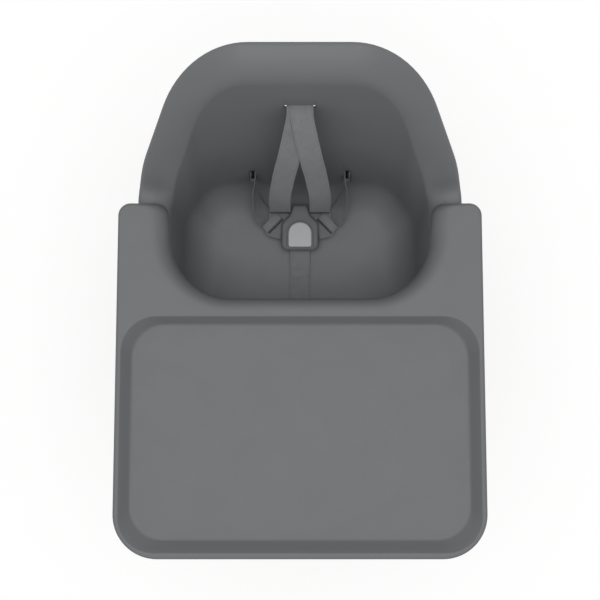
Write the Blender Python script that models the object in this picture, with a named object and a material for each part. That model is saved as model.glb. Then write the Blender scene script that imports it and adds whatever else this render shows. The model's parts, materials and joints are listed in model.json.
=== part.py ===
"""High chair: a moulded bucket seat with a tray and a five-point harness, on four turned wooden legs.

Metres, +Z up. The child faces -Y, right is +X in the view from above, and the floor is z = 0.
"""

import math

import bmesh
import bpy
from mathutils import Matrix, Quaternion, Vector

# Driving dimensions of the whole chair
OVERALL_DEPTH = 0.558
OVERALL_HEIGHT = 0.945
SEAT_HEIGHT = 0.540
ARM_HEIGHT = 0.712

# Both ends of the chair in plan
RIM_REAR_Y = OVERALL_DEPTH / 2
TRAY_FRONT_Y = -OVERALL_DEPTH / 2

# Fits that many pieces share
GAP = 0.0003
OVERRUN = 0.002

# Seat shell: wall, plan of the rim, and how far the wall leans in to the pan
SHELL_WALL = 0.004
RIM_HALF_WIDTH = 0.186
RIM_TOP_INSET = 0.0692
RIM_TOP_HALF_WIDTH = RIM_HALF_WIDTH - RIM_TOP_INSET
SHOULDER_DEPTH = 0.125
RIM_SHOULDER_Y = RIM_REAR_Y - SHOULDER_DEPTH
SEAT_DEPTH = 0.361
SEAT_FRONT_Y = RIM_REAR_Y - SEAT_DEPTH
LIP_WIDTH = 0.036
FRONT_LIP_WIDTH = 0.030
SIDE_LEAN = 0.011
SHOULDER_LEAN = 0.030
BACK_LEAN = 0.090
FRONT_LEAN = 0.032
FRONT_CORNER_RADIUS = 0.070
SHOULDER_RADIUS = 0.114
TOP_CORNER_RADIUS = 0.103
PAN_FRONT_RADIUS = 0.030
PAN_REAR_RADIUS = 0.050
PAN_FILLET = 0.045
ARM_ROLL_RADIUS = 0.020
BACK_ROLL_RADIUS = 0.032
LIP_EDGE_RADIUS = 0.005
WATERFALL_RADIUS = 0.020
LIP_DROP = 0.016
WATERFALL_DROP = 0.026
BACK_DEPTH = 0.145
ARM_REAR_Y = RIM_REAR_Y - BACK_DEPTH
PAN_REAR_Y = RIM_REAR_Y - LIP_WIDTH - BACK_LEAN
BACK_EASE_SHARE = 0.12

# Seat shell: bosses under the pan and slots for the harness
BOSS_RADIUS = 0.007
BOSS_HEIGHT = 0.008
SHOULDER_SLOT_DROP = 0.095
SHOULDER_SLOT_HEIGHT = OVERALL_HEIGHT - SHOULDER_SLOT_DROP
WAIST_SLOT_RISE = 0.056
WAIST_SLOT_HEIGHT = SEAT_HEIGHT + WAIST_SLOT_RISE
WAIST_SLOT_X = 0.057
WAIST_SLOT_LENGTH = 0.044
CROTCH_SLOT_INSET = 0.067
CROTCH_SLOT_Y = SEAT_FRONT_Y + CROTCH_SLOT_INSET
SLOT_SIDE_CLEARANCE = 0.0025

# Harness webbing and the bars behind its slots
STRAP_WIDTH = 0.025
STRAP_THICKNESS = 0.0012
BAR_RADIUS = 0.002
BAR_END_RADIUS = 0.004
BAR_END_LENGTH = 0.003
BAR_OVERHANG = 0.008
STRAP_SPREAD = 0.002
STRAP_TAIL = 0.014
STRAP_BEND = 0.0036
SLOT_EASE = 0.0010
CROTCH_FOLD = 0.0385

# Buckle: housing, back, button and tongues
BUCKLE_REAR_ROOM = 0.020
BUCKLE_NECK_LENGTH = 0.012
BUCKLE_HEAD_LENGTH = 0.011
BUCKLE_BODY_LENGTH = 0.033
BUCKLE_NECK_Y = PAN_REAR_Y - BUCKLE_REAR_ROOM
BUCKLE_HEAD_Y = BUCKLE_NECK_Y - BUCKLE_NECK_LENGTH
BUCKLE_SHOULDER_Y = BUCKLE_HEAD_Y - BUCKLE_HEAD_LENGTH
BUCKLE_FRONT_Y = BUCKLE_SHOULDER_Y - BUCKLE_BODY_LENGTH
BUCKLE_HALF_WIDTH = 0.023
BUCKLE_HEAD_INSET = 0.012
BUCKLE_NECK_INSET = 0.005
BUCKLE_HEAD_HALF_WIDTH = BUCKLE_HALF_WIDTH - BUCKLE_HEAD_INSET
BUCKLE_NECK_HALF_WIDTH = BUCKLE_HEAD_HALF_WIDTH - BUCKLE_NECK_INSET
BUCKLE_HEIGHT = 0.0172
BUCKLE_SKIN = 0.002
BUCKLE_EDGE = 0.003
BUCKLE_BACK_THICKNESS = 0.0025
BUCKLE_BAR_INSET = 0.0035
BUCKLE_BAR_Y = BUCKLE_FRONT_Y + BUCKLE_BAR_INSET
BUCKLE_BAR_HALF = 0.00125
BUTTON_FRONT_INSET = 0.004
BUTTON_LENGTH = 0.0305
BUTTON_SIDE_INSET = 0.0086
BUTTON_FRONT_Y = BUCKLE_FRONT_Y + BUTTON_FRONT_INSET
BUTTON_REAR_Y = BUTTON_FRONT_Y + BUTTON_LENGTH
BUTTON_HALF_WIDTH = BUCKLE_HALF_WIDTH - BUTTON_SIDE_INSET
BUTTON_PROUD = 0.0027
BUTTON_FLANGE = 0.0014
BUTTON_FLANGE_THICKNESS = 0.001
BUTTON_SPRING_RADIUS = 0.003
SPRING_WIRE = 0.00035
TONGUE_THICKNESS = 0.002
TONGUE_HEIGHT = 0.0079
TONGUE_INNER_X = 0.005
TONGUE_BAR_HALF = 0.0011
TONGUE_EYE = 0.0043
TONGUE_RIM = 0.0017
TONGUE_NECK_ROOM = 0.0035
TONGUE_SHOULDER_INSET = 0.006
TONGUE_WAIST_INSET = 0.028
TONGUE_WAIST_REACH = 0.0135
TONGUE_SHOULDER_BAR_Y = BUCKLE_NECK_Y - TONGUE_SHOULDER_INSET
TONGUE_SHOULDER_X = BUCKLE_NECK_HALF_WIDTH + TONGUE_NECK_ROOM + TONGUE_RIM + GAP + STRAP_WIDTH / 2
TONGUE_WAIST_BAR_X = BUCKLE_HALF_WIDTH + TONGUE_WAIST_REACH
TONGUE_WAIST_Y = BUCKLE_FRONT_Y + TONGUE_WAIST_INSET

# Tray: plan, edges and dish
TRAY_RISE = 0.023
TRAY_HEIGHT = ARM_HEIGHT + TRAY_RISE
TRAY_WALL = 0.003
TRAY_OVERHANG = 0.0203
TRAY_FLARE = 0.0079
TRAY_REAR_HALF_WIDTH = RIM_HALF_WIDTH + TRAY_OVERHANG
TRAY_FRONT_HALF_WIDTH = TRAY_REAR_HALF_WIDTH + TRAY_FLARE
WING_REAR_ROOM = 0.0084
WING_REAR_Y = ARM_REAR_Y - WING_REAR_ROOM
WING_INSET = 0.0345
WING_INNER_REAR_X = RIM_HALF_WIDTH - WING_INSET
CUTOUT_SIDE_INSET = 0.043
CUTOUT_HALF_WIDTH = RIM_HALF_WIDTH - CUTOUT_SIDE_INSET
CUTOUT_INSET = 0.0993
CUTOUT_Y = SEAT_FRONT_Y + CUTOUT_INSET
CUTOUT_RADIUS = 0.070
TRAY_CORNER_RADIUS = 0.048
WING_CORNER_RADIUS = 0.014
TRAY_EDGE_ROLL = 0.0034
WING_ROLL = 0.023
CUTOUT_ROLL = 0.014
SKIRT_DEPTH = 0.026
WING_CLEARANCE = 0.0015
DISH_REAR_MARGIN = 0.020
DISH_REAR_Y = CUTOUT_Y - DISH_REAR_MARGIN
DISH_FRONT_MARGIN = 0.0073
DISH_SIDE_MARGIN = 0.0058
DISH_DEPTH = 0.012
DISH_REAR_SLOPE = 0.0095
DISH_SIDE_SLOPE = 0.012
DISH_FRONT_SLOPE = 0.013
DISH_REAR_RADIUS = 0.034
DISH_FRONT_RADIUS = 0.038
DISH_TOP_FILLET = 0.0015
DISH_FOOT_FILLET = 0.006
TRAY_RIB = 0.002
TRAY_RIB_DEPTH = 0.009
TRAY_BOSS_RADIUS = 0.0045

# Runners under the wings, their screws and the latches
RAIL_WIDTH = 0.0155
RAIL_INNER_X = RIM_HALF_WIDTH - RAIL_WIDTH
RAIL_LENGTH = 0.065
RAIL_REAR_INSET = 0.0206
RAIL_FRONT_Y = WING_REAR_Y - RAIL_REAR_INSET - RAIL_LENGTH
RAIL_HEIGHT = 0.0114
RAIL_WEB = 0.0035
RAIL_WEB_DROP = 0.0145
RAIL_SCREW_INSET = 0.008
RAIL_SCREW_RADIUS = 0.0015
RAIL_SCREW_HEAD_RADIUS = 0.003
RAIL_SCREW_HEAD = 0.0025
RAIL_SCREW_BITE = 0.006
LATCH_THICKNESS = 0.003
LATCH_LENGTH = 0.030
LATCH_TOP_DROP = 0.004
LATCH_HOOK_REACH = 0.0055
LATCH_HOOK_THICKNESS = 0.004
LATCH_TAB_DEPTH = 0.020
LATCH_TAB_CURL = 0.003
LATCH_TONGUE_WIDTH = 0.012
LATCH_TONGUE_THICKNESS = 0.004
LATCH_TONGUE_REACH = 0.010
LATCH_SPRING_RADIUS = 0.0032

# Seat base: a moulded frame under the pan
BASE_SIDE_INSET = 0.064
BASE_FRONT_INSET = 0.010
BASE_REAR_INSET = 0.125
BASE_HALF_WIDTH = RIM_HALF_WIDTH - BASE_SIDE_INSET
BASE_FRONT_Y = SEAT_FRONT_Y + BASE_FRONT_INSET
BASE_REAR_Y = RIM_REAR_Y - BASE_REAR_INSET
BASE_CORNER_RADIUS = 0.034
BASE_HEIGHT = 0.022
BASE_PLATE = 0.004
BOSS_SIDE_INSET = 0.042
BOSS_FRONT_INSET = 0.066
BOSS_REAR_INSET = 0.064
BOSS_X = BASE_HALF_WIDTH - BOSS_SIDE_INSET
BOSS_FRONT_Y = BASE_FRONT_Y + BOSS_FRONT_INSET
BOSS_REAR_Y = BASE_REAR_Y - BOSS_REAR_INSET
BASE_WINDOW_SIDE_ROOM = 0.020
BASE_WINDOW_FRONT_INSET = 0.032
BASE_WINDOW_REAR_INSET = 0.064
BASE_WINDOW_HALF_WIDTH = BOSS_X - BASE_WINDOW_SIDE_ROOM
BASE_WINDOW_FRONT_Y = BASE_FRONT_Y + BASE_WINDOW_FRONT_INSET
BASE_WINDOW_REAR_Y = BASE_REAR_Y - BASE_WINDOW_REAR_INSET
BASE_WINDOW_RADIUS = 0.012
BASE_SCREW_RADIUS = 0.002
BASE_SCREW_HEAD_RADIUS = 0.0042
BASE_SCREW_HEAD = 0.003
BASE_SCREW_BITE = 0.007

# Legs, their sockets, cross bolts and foot caps
LEG_FRONT_INSET = 0.028
LEG_FRONT_SIDE_INSET = 0.024
LEG_REAR_INSET = 0.0275
LEG_REAR_SIDE_INSET = 0.0315
FOOT_FRONT_X = 0.225
FOOT_FRONT_INSET = 0.079
FOOT_REAR_X = 0.200
FOOT_REAR_INSET = 0.023
LEG_TOP_FRONT = (BASE_HALF_WIDTH - LEG_FRONT_SIDE_INSET, BASE_FRONT_Y + LEG_FRONT_INSET)
LEG_TOP_REAR = (BASE_HALF_WIDTH - LEG_REAR_SIDE_INSET, BASE_REAR_Y - LEG_REAR_INSET)
FOOT_FRONT = (FOOT_FRONT_X, TRAY_FRONT_Y + FOOT_FRONT_INSET)
FOOT_REAR = (FOOT_REAR_X, RIM_REAR_Y - FOOT_REAR_INSET)
LEG_TOP_RADIUS = 0.017
LEG_FOOT_RADIUS = 0.011
LEG_BEAD = 0.0025
LEG_TOP_CHAMFER = 0.001
SOCKET_WALL = 0.0055
SOCKET_DEPTH = 0.055
SOCKET_ROOF = 0.012
BOLT_DEPTH = 0.030
BOLT_RADIUS = 0.003
BOLT_HEAD_RADIUS = 0.0055
BOLT_HEAD = 0.0035
BOLT_FLAT_RADIUS = 0.0085
BOLT_FLAT_PROUD = 0.001
NUT_LENGTH = 0.006
CAP_WALL = 0.0025
CAP_HEIGHT = 0.024
CAP_FLOOR = 0.008

# Footrest
FOOTREST_TOP = 0.265
FOOTREST_THICKNESS = 0.015
FOOTREST_DEPTH = 0.112
FOOTREST_REAR_REACH = 0.015
FOOTREST_SIDE_ROOM = 0.026
FOOTREST_CORNER_RADIUS = 0.022
FOOTREST_EDGE = 0.003
CLAMP_WALL = 0.005
CLAMP_HEIGHT = 0.024
CLAMP_ARM_THICKNESS = 0.004
CLAMP_ARM_LENGTH = 0.072
CLAMP_ARM_REAR_REACH = 0.013
CLAMP_ARM_DEPTH = 0.040
CLAMP_SCREW_X_SPAN = 0.026
CLAMP_SCREW_RADIUS = 0.002
CLAMP_SCREW_HEAD_RADIUS = 0.004
CLAMP_SCREW_HEAD = 0.0025
CLAMP_SCREW_BITE = 0.010
SET_SCREW_RADIUS = 0.0025
SET_SCREW_BITE = 0.002

# Mesh counts
SMOOTH_ANGLE = math.radians(35)
ROUND_SIDES = 14
SMALL_SIDES = 8
LEAST_SETBACK_SHARE = 0.2
LEG_FILL_SHARE = 0.96
PARALLEL_SHARE = 0.9

# Proportions of small features
SCREW_CROWN_SHARE = 0.8
BOLT_TIP_SHARE = 0.7
NUT_SIDE_SHARE = 0.8
NUT_CROWN_SHARE = 0.75
BLADE_SHARE = 0.7
BLADE_SLOT_SHARE = 0.9
EYE_SHARE = 0.8
STRAP_LIFT_SHARE = 1.5

# Routes of the webbing, as shares of the way from its slot to its buckle: sideways, forwards, down
SHOULDER_ROUTE_SHARES = [
    (0.18, 0.35, 0.03),
    (0.47, 0.58, 0.105),
    (0.68, 0.71, 0.20),
    (0.83, 0.81, 0.34),
    (0.95, 0.885, 0.507),
    (1.00, 0.955, 0.71),
    (1.00, 0.99, 0.87),
]
WAIST_ROUTE_SHARES = [
    (-0.05, 0.37, 0.085),
    (-0.08, 0.61, 0.32),
    (-0.02, 0.81, 0.60),
    (0.18, 0.95, 0.85),
    (0.46, 0.996, 0.97),
]

# The crotch strap's sewn end: shares of its length along and of the buckle's height up
CROTCH_FOLD_SHARES = [(0.11, 1.0), (0.29, 0.6), (0.545, 0.0), (0.76, 0.0), (1.0, 0.0)]


def material(name, colour, roughness, metallic=0.0):
    """A plain material with the piece's colour, given as sRGB hex."""
    look = bpy.data.materials.new(name)
    look.use_nodes = True
    shader = look.node_tree.nodes["Principled BSDF"]
    parts = [int(colour[i : i + 2], 16) / 255 for i in (0, 2, 4)]
    linear = [c / 12.92 if c <= 0.04045 else ((c + 0.055) / 1.055) ** 2.4 for c in parts]
    shader.inputs["Base Color"].default_value = (*linear, 1.0)
    shader.inputs["Roughness"].default_value = roughness
    shader.inputs["Metallic"].default_value = metallic
    look.diffuse_color = (*linear, 1.0)
    return look


def add_object(name, bm, look=None, origin=(0, 0, 0), frame=None):
    """Turn a bmesh into an object: built in world space about origin, or in the given frame."""
    bmesh.ops.recalc_face_normals(bm, faces=bm.faces)
    if frame is None:
        bmesh.ops.translate(bm, vec=-Vector(origin), verts=bm.verts)
    mesh = bpy.data.meshes.new(name)
    bm.to_mesh(mesh)
    bm.free()
    if look:
        mesh.materials.append(look)
    mesh.shade_smooth()
    mesh.set_sharp_from_angle(angle=SMOOTH_ANGLE)
    obj = bpy.data.objects.new(name, mesh)
    obj.matrix_world = frame if frame is not None else Matrix.Translation(origin)
    bpy.context.scene.collection.objects.link(obj)
    return obj


def hide_tool(tool):
    """Mark an object as a tool that only shapes another one."""
    tool.hide_render = True
    tool.display_type = "WIRE"


def shape_with(obj, tool, operation):
    """Cut a tool out of an object, or join it on, with a Boolean modifier."""
    hide_tool(tool)
    step = obj.modifiers.new(tool.name, "BOOLEAN")
    step.operation = operation
    step.solver = "EXACT"
    step.object = tool


def cut(obj, tool):
    shape_with(obj, tool, "DIFFERENCE")


def join(obj, tool):
    shape_with(obj, tool, "UNION")


def loft(loops, close_ends=True, close_path=False):
    """A bmesh that bridges loops with equal counts of points."""
    bm = bmesh.new()
    rings = [[bm.verts.new(p) for p in loop] for loop in loops]
    pairs = list(zip(rings, rings[1:]))
    if close_path:
        pairs.append((rings[-1], rings[0]))
    for low, high in pairs:
        for i in range(len(low)):
            j = (i + 1) % len(low)
            bm.faces.new((low[i], low[j], high[j], high[i]))
    if close_ends:
        bm.faces.new(list(reversed(rings[0])))
        bm.faces.new(rings[-1])
    return bm


def flat_loop(outline, z):
    return [Vector((p[0], p[1], z)) for p in outline]


def prism(outline, low, high):
    """A plan outline pulled up from one height to another."""
    return loft([flat_loop(outline, low), flat_loop(outline, high)])


def side_prism(section, front, rear):
    """An outline in X and Z pulled along Y."""
    return loft([[Vector((x, y, z)) for x, z in section] for y in (front, rear)])


def box(low, high):
    outline = [(low[0], low[1]), (high[0], low[1]), (high[0], high[1]), (low[0], high[1])]
    return prism(outline, low[2], high[2])


def turned(profile, sides):
    """A solid turned about Z from (radius, height) points, from its bottom to its top."""
    loops = []
    for radius, height in profile:
        turns = [2 * math.pi * (i + 0.5) / sides for i in range(sides)]
        loops.append([Vector((radius * math.cos(a), radius * math.sin(a), height)) for a in turns])
    return loft(loops)


def rod(radius, low, high, sides=ROUND_SIDES):
    return turned([(radius, low), (radius, high)], sides)


def axis_frame(origin, direction, side):
    """A frame at origin with Z along direction and X close to side."""
    z = Vector(direction).normalized()
    y = z.cross(Vector(side)).normalized()
    x = y.cross(z)
    rotation = Matrix((x, y, z)).transposed().to_4x4()
    return Matrix.Translation(origin) @ rotation


def setbacks(path, radii):
    """How far from each corner its rounding starts, kept clear of the next corner's."""
    legs = [(b - a).length for a, b in zip(path, path[1:])]
    back = [0.0] * len(path)
    for i in range(1, len(path) - 1):
        turn = (path[i] - path[i - 1]).angle(path[i + 1] - path[i])
        least = LEAST_SETBACK_SHARE * min(legs[i - 1], legs[i])
        back[i] = max(radii[i] * math.tan(turn / 2), least)
    fits = [min(1.0, LEG_FILL_SHARE * leg / (back[i] + back[i + 1])) for i, leg in enumerate(legs)]
    return [0.0] + [back[i] * min(fits[i - 1], fits[i]) for i in range(1, len(path) - 1)] + [0.0]


def corner_arc(before, corner, after, setback, steps):
    """Points of the arc that rounds a corner, from one tangent point to the other."""
    start = corner + (before - corner).normalized() * setback
    end = corner + (after - corner).normalized() * setback
    weight = math.cos((corner - before).angle(after - corner) / 2)
    points = []
    for i in range(steps + 1):
        t = i / steps
        a = (1 - t) ** 2
        b = 2 * t * (1 - t) * weight
        c = t**2
        points.append((start * a + corner * b + end * c) / (a + b + c))
    return points


def rounded_path(path, radii, arc_steps, leg_steps):
    """A path through rounded corners, with the same count of points whatever its sizes."""
    path = [Vector(p) for p in path]
    back = setbacks(path, radii)
    points = [path[0]]
    for i in range(1, len(path)):
        if i < len(path) - 1:
            arc = corner_arc(path[i - 1], path[i], path[i + 1], back[i], arc_steps[i])
        else:
            arc = [path[i]]
        start = points[-1]
        for k in range(1, leg_steps[i - 1]):
            points.append(start.lerp(arc[0], k / leg_steps[i - 1]))
        points.extend(arc)
    return points


def inset(corners, distances):
    """Move each leg of a half outline inwards; the outline runs anticlockwise from X = 0 back to it."""
    corners = [Vector(c) for c in corners]
    lines = []
    for a, b, distance in zip(corners, corners[1:], distances):
        along = (b - a).normalized()
        inwards = Vector((-along.y, along.x))
        lines.append((a + inwards * distance, along))
    moved = [Vector((0, lines[0][0].y))]
    for (p, d), (q, e) in zip(lines, lines[1:]):
        t = (q - p).cross(e) / d.cross(e)
        moved.append(p + d * t)
    last_point, last_along = lines[-1]
    moved.append(last_point - last_along * (last_point.x / last_along.x))
    return moved


def mirror_half(half):
    """Close a half outline that starts and ends at X = 0."""
    left = [Vector((-p.x, *p[1:])) for p in reversed(half[1:-1])]
    return list(half) + left


def full_outline(corners, radii, arc_steps, leg_steps):
    return mirror_half(rounded_path(corners, radii, arc_steps, leg_steps))


def rounded_rectangle(half_width, front, rear, radius, steps=3):
    corners = [(0, front), (half_width, front), (half_width, rear), (0, rear)]
    return full_outline(corners, [0, radius, radius, 0], [0, steps, steps, 0], [1, 1, 1])


def smooth_step(share):
    share = min(max(share, 0.0), 1.0)
    return share * share * (3 - 2 * share)


def smooth_curve(points, steps):
    """A Catmull-Rom curve through points, with steps spans between each two."""
    points = [Vector(p) for p in points]
    padded = [points[0] * 2 - points[1], *points, points[-1] * 2 - points[-2]]
    curve = [points[0]]
    for a, b, c, d in zip(padded, padded[1:], padded[2:], padded[3:]):
        for k in range(1, steps + 1):
            t = k / steps
            bend = (b * 2) + (c - a) * t + (a * 2 - b * 5 + c * 4 - d) * t**2
            curve.append((bend + (b * 3 - a - c * 3 + d) * t**3) / 2)
    return curve


# Seat shell
SHELL_ARCS = [0, 6, 3, 5, 0]
SHELL_LEGS = [2, 3, 2, 2]


def rim_corners():
    return [
        (0, SEAT_FRONT_Y),
        (RIM_HALF_WIDTH, SEAT_FRONT_Y),
        (RIM_HALF_WIDTH, RIM_SHOULDER_Y),
        (RIM_TOP_HALF_WIDTH, RIM_REAR_Y),
        (0, RIM_REAR_Y),
    ]


def arm_share(y):
    """How far the rim has risen from the seat's front edge to the armrest."""
    return smooth_step((y - SEAT_FRONT_Y) / FRONT_CORNER_RADIUS)


def back_share(y):
    """How far the rim has risen from the armrest to the top of the back."""
    share = max(0.0, (y - ARM_REAR_Y) / (RIM_REAR_Y - ARM_REAR_Y))
    if share < BACK_EASE_SHARE:
        return share**2 / (2 * BACK_EASE_SHARE) / (1 - BACK_EASE_SHARE / 2)
    return (share - BACK_EASE_SHARE / 2) / (1 - BACK_EASE_SHARE / 2)


def blend(low, high, share):
    return low + (high - low) * share


def shell_section(inner, pan, wall, rim):
    """One section of the shell, from its flat pan over the wall and the rolled lip to its edge."""
    up = arm_share(rim.y)
    back = back_share(rim.y)
    height = blend(SEAT_HEIGHT, ARM_HEIGHT, up) + (OVERALL_HEIGHT - ARM_HEIGHT) * back
    drop = blend(WATERFALL_DROP, LIP_DROP, up)
    path = [
        (*inner, SEAT_HEIGHT),
        (*pan, SEAT_HEIGHT),
        (*wall, height),
        (*rim, height),
        (*rim, height - drop),
    ]
    roll = blend(ARM_ROLL_RADIUS, BACK_ROLL_RADIUS, back)
    edge = blend(WATERFALL_RADIUS, LIP_EDGE_RADIUS, up)
    return rounded_path(path, [0, PAN_FILLET, roll, edge, 0], [0, 3, 4, 2, 0], [1, 2, 1, 1])[1:]


def wall_plane():
    """A point on the inside of the back's middle, and the direction up along it."""
    rise = OVERALL_HEIGHT - SEAT_HEIGHT
    foot = Vector((0, PAN_REAR_Y, SEAT_HEIGHT))
    return foot, Vector((0, BACK_LEAN, rise)).normalized()


def on_back(x, height):
    """The point on the inside of the back at a height."""
    foot, up = wall_plane()
    point = foot + up * ((height - SEAT_HEIGHT) / up.z)
    return Vector((x, point.y, height))


def slot_opening(layers):
    """The clear height of a slot that passes nested strap ends, counted in straps."""
    return 2 * (bar_loop_radius(BAR_RADIUS, layers - 1) + STRAP_THICKNESS / 2 + GAP) + SLOT_EASE


def bar_loop_radius(bar_radius, outside=0):
    """The radius of a strap's middle round a bar, outside other straps."""
    return bar_radius + GAP + STRAP_THICKNESS / 2 + outside * (STRAP_THICKNESS + GAP)


def seat_shell(look):
    """The bucket: a lofted surface from the pan to the rim's edge, thickened and slotted."""
    rim = rim_corners()
    wall = inset(rim, [FRONT_LIP_WIDTH, LIP_WIDTH, LIP_WIDTH, LIP_WIDTH])
    pan = inset(wall, [FRONT_LEAN, SIDE_LEAN, SHOULDER_LEAN, BACK_LEAN])
    inner = inset(pan, [PAN_FILLET] * 4)
    turn = FRONT_CORNER_RADIUS - LIP_WIDTH
    radii = [
        [0, PAN_FRONT_RADIUS / 2, PAN_REAR_RADIUS, PAN_REAR_RADIUS / 2, 0],
        [0, PAN_FRONT_RADIUS, PAN_REAR_RADIUS, PAN_REAR_RADIUS, 0],
        [0, turn, SHOULDER_RADIUS, TOP_CORNER_RADIUS - LIP_WIDTH, 0],
        [0, FRONT_CORNER_RADIUS, SHOULDER_RADIUS, TOP_CORNER_RADIUS, 0],
    ]
    outlines = [
        full_outline(corners, r, SHELL_ARCS, SHELL_LEGS)
        for corners, r in zip((inner, pan, wall, rim), radii)
    ]
    sections = [shell_section(*stations) for stations in zip(*outlines)]
    rings = [list(ring) for ring in zip(*sections)]
    bm = loft(rings, close_ends=False)
    bmesh.ops.contextual_create(bm, geom=[e for e in bm.edges if e.is_boundary and in_pan(e)])
    shell = add_object("seat_shell", bm, look)
    if shell.data.polygons[-1].normal.z < 0:
        shell.data.flip_normals()
    skin = shell.modifiers.new("wall", "SOLIDIFY")
    skin.thickness = SHELL_WALL
    skin.offset = -1
    skin.use_even_offset = True
    skin.use_quality_normals = True
    for i, (x, y) in enumerate(boss_places()):
        foot = SEAT_HEIGHT - SHELL_WALL - BOSS_HEIGHT
        boss = rod(BOSS_RADIUS, foot, SEAT_HEIGHT - SHELL_WALL / 2)
        join(shell, add_object(f"shell_boss_{i}", boss, frame=Matrix.Translation((x, y, 0))))
        bore = rod(BASE_SCREW_RADIUS + GAP, foot - OVERRUN, foot + BASE_SCREW_BITE + GAP, SMALL_SIDES)
        cut(shell, add_object(f"shell_bore_{i}", bore, frame=Matrix.Translation((x, y, 0))))
    cut_strap_slots(shell)
    return shell


def in_pan(edge):
    front = SEAT_FRONT_Y + FRONT_LIP_WIDTH
    return all(abs(v.co.z - SEAT_HEIGHT) < GAP and v.co.y > front for v in edge.verts)


def boss_places():
    return [(x, y) for x in (-BOSS_X, BOSS_X) for y in (BOSS_FRONT_Y, BOSS_REAR_Y)]


def slot_tool(name, frame, length, height, depth):
    """A cutter with its slot's length along X and its depth along Z of the frame."""
    half = length / 2
    outline = rounded_rectangle(half, -height / 2, height / 2, height / 4, steps=2)
    return add_object(name, prism(outline, -depth, depth), frame=frame)


def cut_strap_slots(shell):
    length = STRAP_WIDTH + 2 * SLOT_SIDE_CLEARANCE
    depth = SHELL_WALL * 3
    frame = axis_frame(on_back(0, SHOULDER_SLOT_HEIGHT), (0, 1, 0), (1, 0, 0))
    wide = length + 2 * STRAP_SPREAD
    cut(shell, slot_tool("shoulder_slot", frame, wide, slot_opening(2), depth))
    up = wall_plane()[1]
    for side, x in (("left", -WAIST_SLOT_X), ("right", WAIST_SLOT_X)):
        frame = axis_frame(on_back(x, WAIST_SLOT_HEIGHT), Vector((1, 0, 0)).cross(up), up)
        cut(shell, slot_tool(f"waist_slot_{side}", frame, WAIST_SLOT_LENGTH, slot_opening(1), depth))
    frame = axis_frame((0, CROTCH_SLOT_Y, SEAT_HEIGHT), (0, 0, 1), (1, 0, 0))
    opening = slot_opening(1) + 2 * STRAP_BEND
    cut(shell, slot_tool("crotch_slot", frame, length, opening, depth))


# Harness webbing
def strap_section(point, along, side, width, thickness):
    side = (side - along * side.dot(along)).normalized() * (width / 2)
    up = along.cross(side).normalized() * (thickness / 2)
    return [point - side - up, point + side - up, point + side + up, point - side + up]


def directions(points):
    """The way each point of a path goes."""
    befores = [points[0], *points[:-1]]
    afters = [*points[1:], points[-1]]
    return [(after - before).normalized() for before, after in zip(befores, afters)]


def strap(name, points, sides, look):
    """Webbing along points, its width along the side given at each point.

    Both faces are split along the same diagonals, so its thickness stays even where it twists.
    """
    bm = bmesh.new()
    rings = []
    for point, along, side in zip(points, directions(points), sides):
        section = strap_section(point, along, side, STRAP_WIDTH, STRAP_THICKNESS)
        rings.append([bm.verts.new(p) for p in section])
    for low, high in zip(rings, rings[1:]):
        for i, j in ((0, 1), (3, 2)):
            bm.faces.new((low[i], low[j], high[j]))
            bm.faces.new((low[i], high[j], high[i]))
        for i, j in ((1, 2), (0, 3)):
            bm.faces.new((low[i], low[j], high[j], high[i]))
    bm.faces.new(rings[0])
    bm.faces.new(rings[-1])
    return add_object(name, bm, look)


def bar_loop(centre, travel, layer, radius, tail, steps=5):
    """A strap's end round a bar: it comes in along travel on the layer side and goes back below."""
    travel = Vector(travel).normalized()
    layer = Vector(layer).normalized()
    points = []
    for i in range(steps + 1):
        turn = math.pi * i / steps
        points.append(centre + (layer * math.cos(turn) + travel * math.sin(turn)) * radius)
    points.append(points[-1] - travel * tail)
    return points


def carried_sides(points, start, end, first, last):
    """Sides carried along the bends, with the turn that is left spread from one point to another."""
    ways = directions(points)
    sides = [start]
    for before, after in zip(ways, ways[1:]):
        sides.append(before.rotation_difference(after) @ sides[-1])
    final = sides[-1]
    target = end if final.dot(end) > 0 else -end
    turn = math.atan2(final.cross(target).dot(ways[-1]), final.dot(target))
    shares = [smooth_step((i - first) / (last - first)) for i in range(len(points))]
    return [Quaternion(way, turn * share) @ side for way, share, side in zip(ways, shares, sides)]


def full_strap(name, start_loop, route, end_loop, start_side, end_side, look):
    """Webbing with a looped end at each side of its route."""
    main = smooth_curve([start_loop[0], *route, end_loop[0]], 2)[1:-1]
    points = [*reversed(start_loop), *main, *end_loop]
    first = len(start_loop) + 2
    sides = carried_sides(points, start_side, end_side, first, len(start_loop) + len(main))
    return strap(name, points, sides, look)


def bar_stand_off():
    """How far a bar's middle lies from the wall that its ends rest on."""
    return BAR_END_RADIUS + GAP


def shoulder_bar_centre():
    _, up = wall_plane()
    outside = on_back(0, SHOULDER_SLOT_HEIGHT) + Vector((0, SHELL_WALL / up.z, 0))
    return outside + Vector((0, bar_stand_off() / up.z, 0))


def waist_bar_centre(x):
    outwards = Vector((1, 0, 0)).cross(wall_plane()[1])
    outwards = outwards if outwards.y > 0 else -outwards
    return on_back(x, WAIST_SLOT_HEIGHT) + outwards * (SHELL_WALL + bar_stand_off())


def crotch_bar_centre():
    return Vector((0, CROTCH_SLOT_Y, SEAT_HEIGHT - SHELL_WALL - bar_stand_off()))


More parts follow.
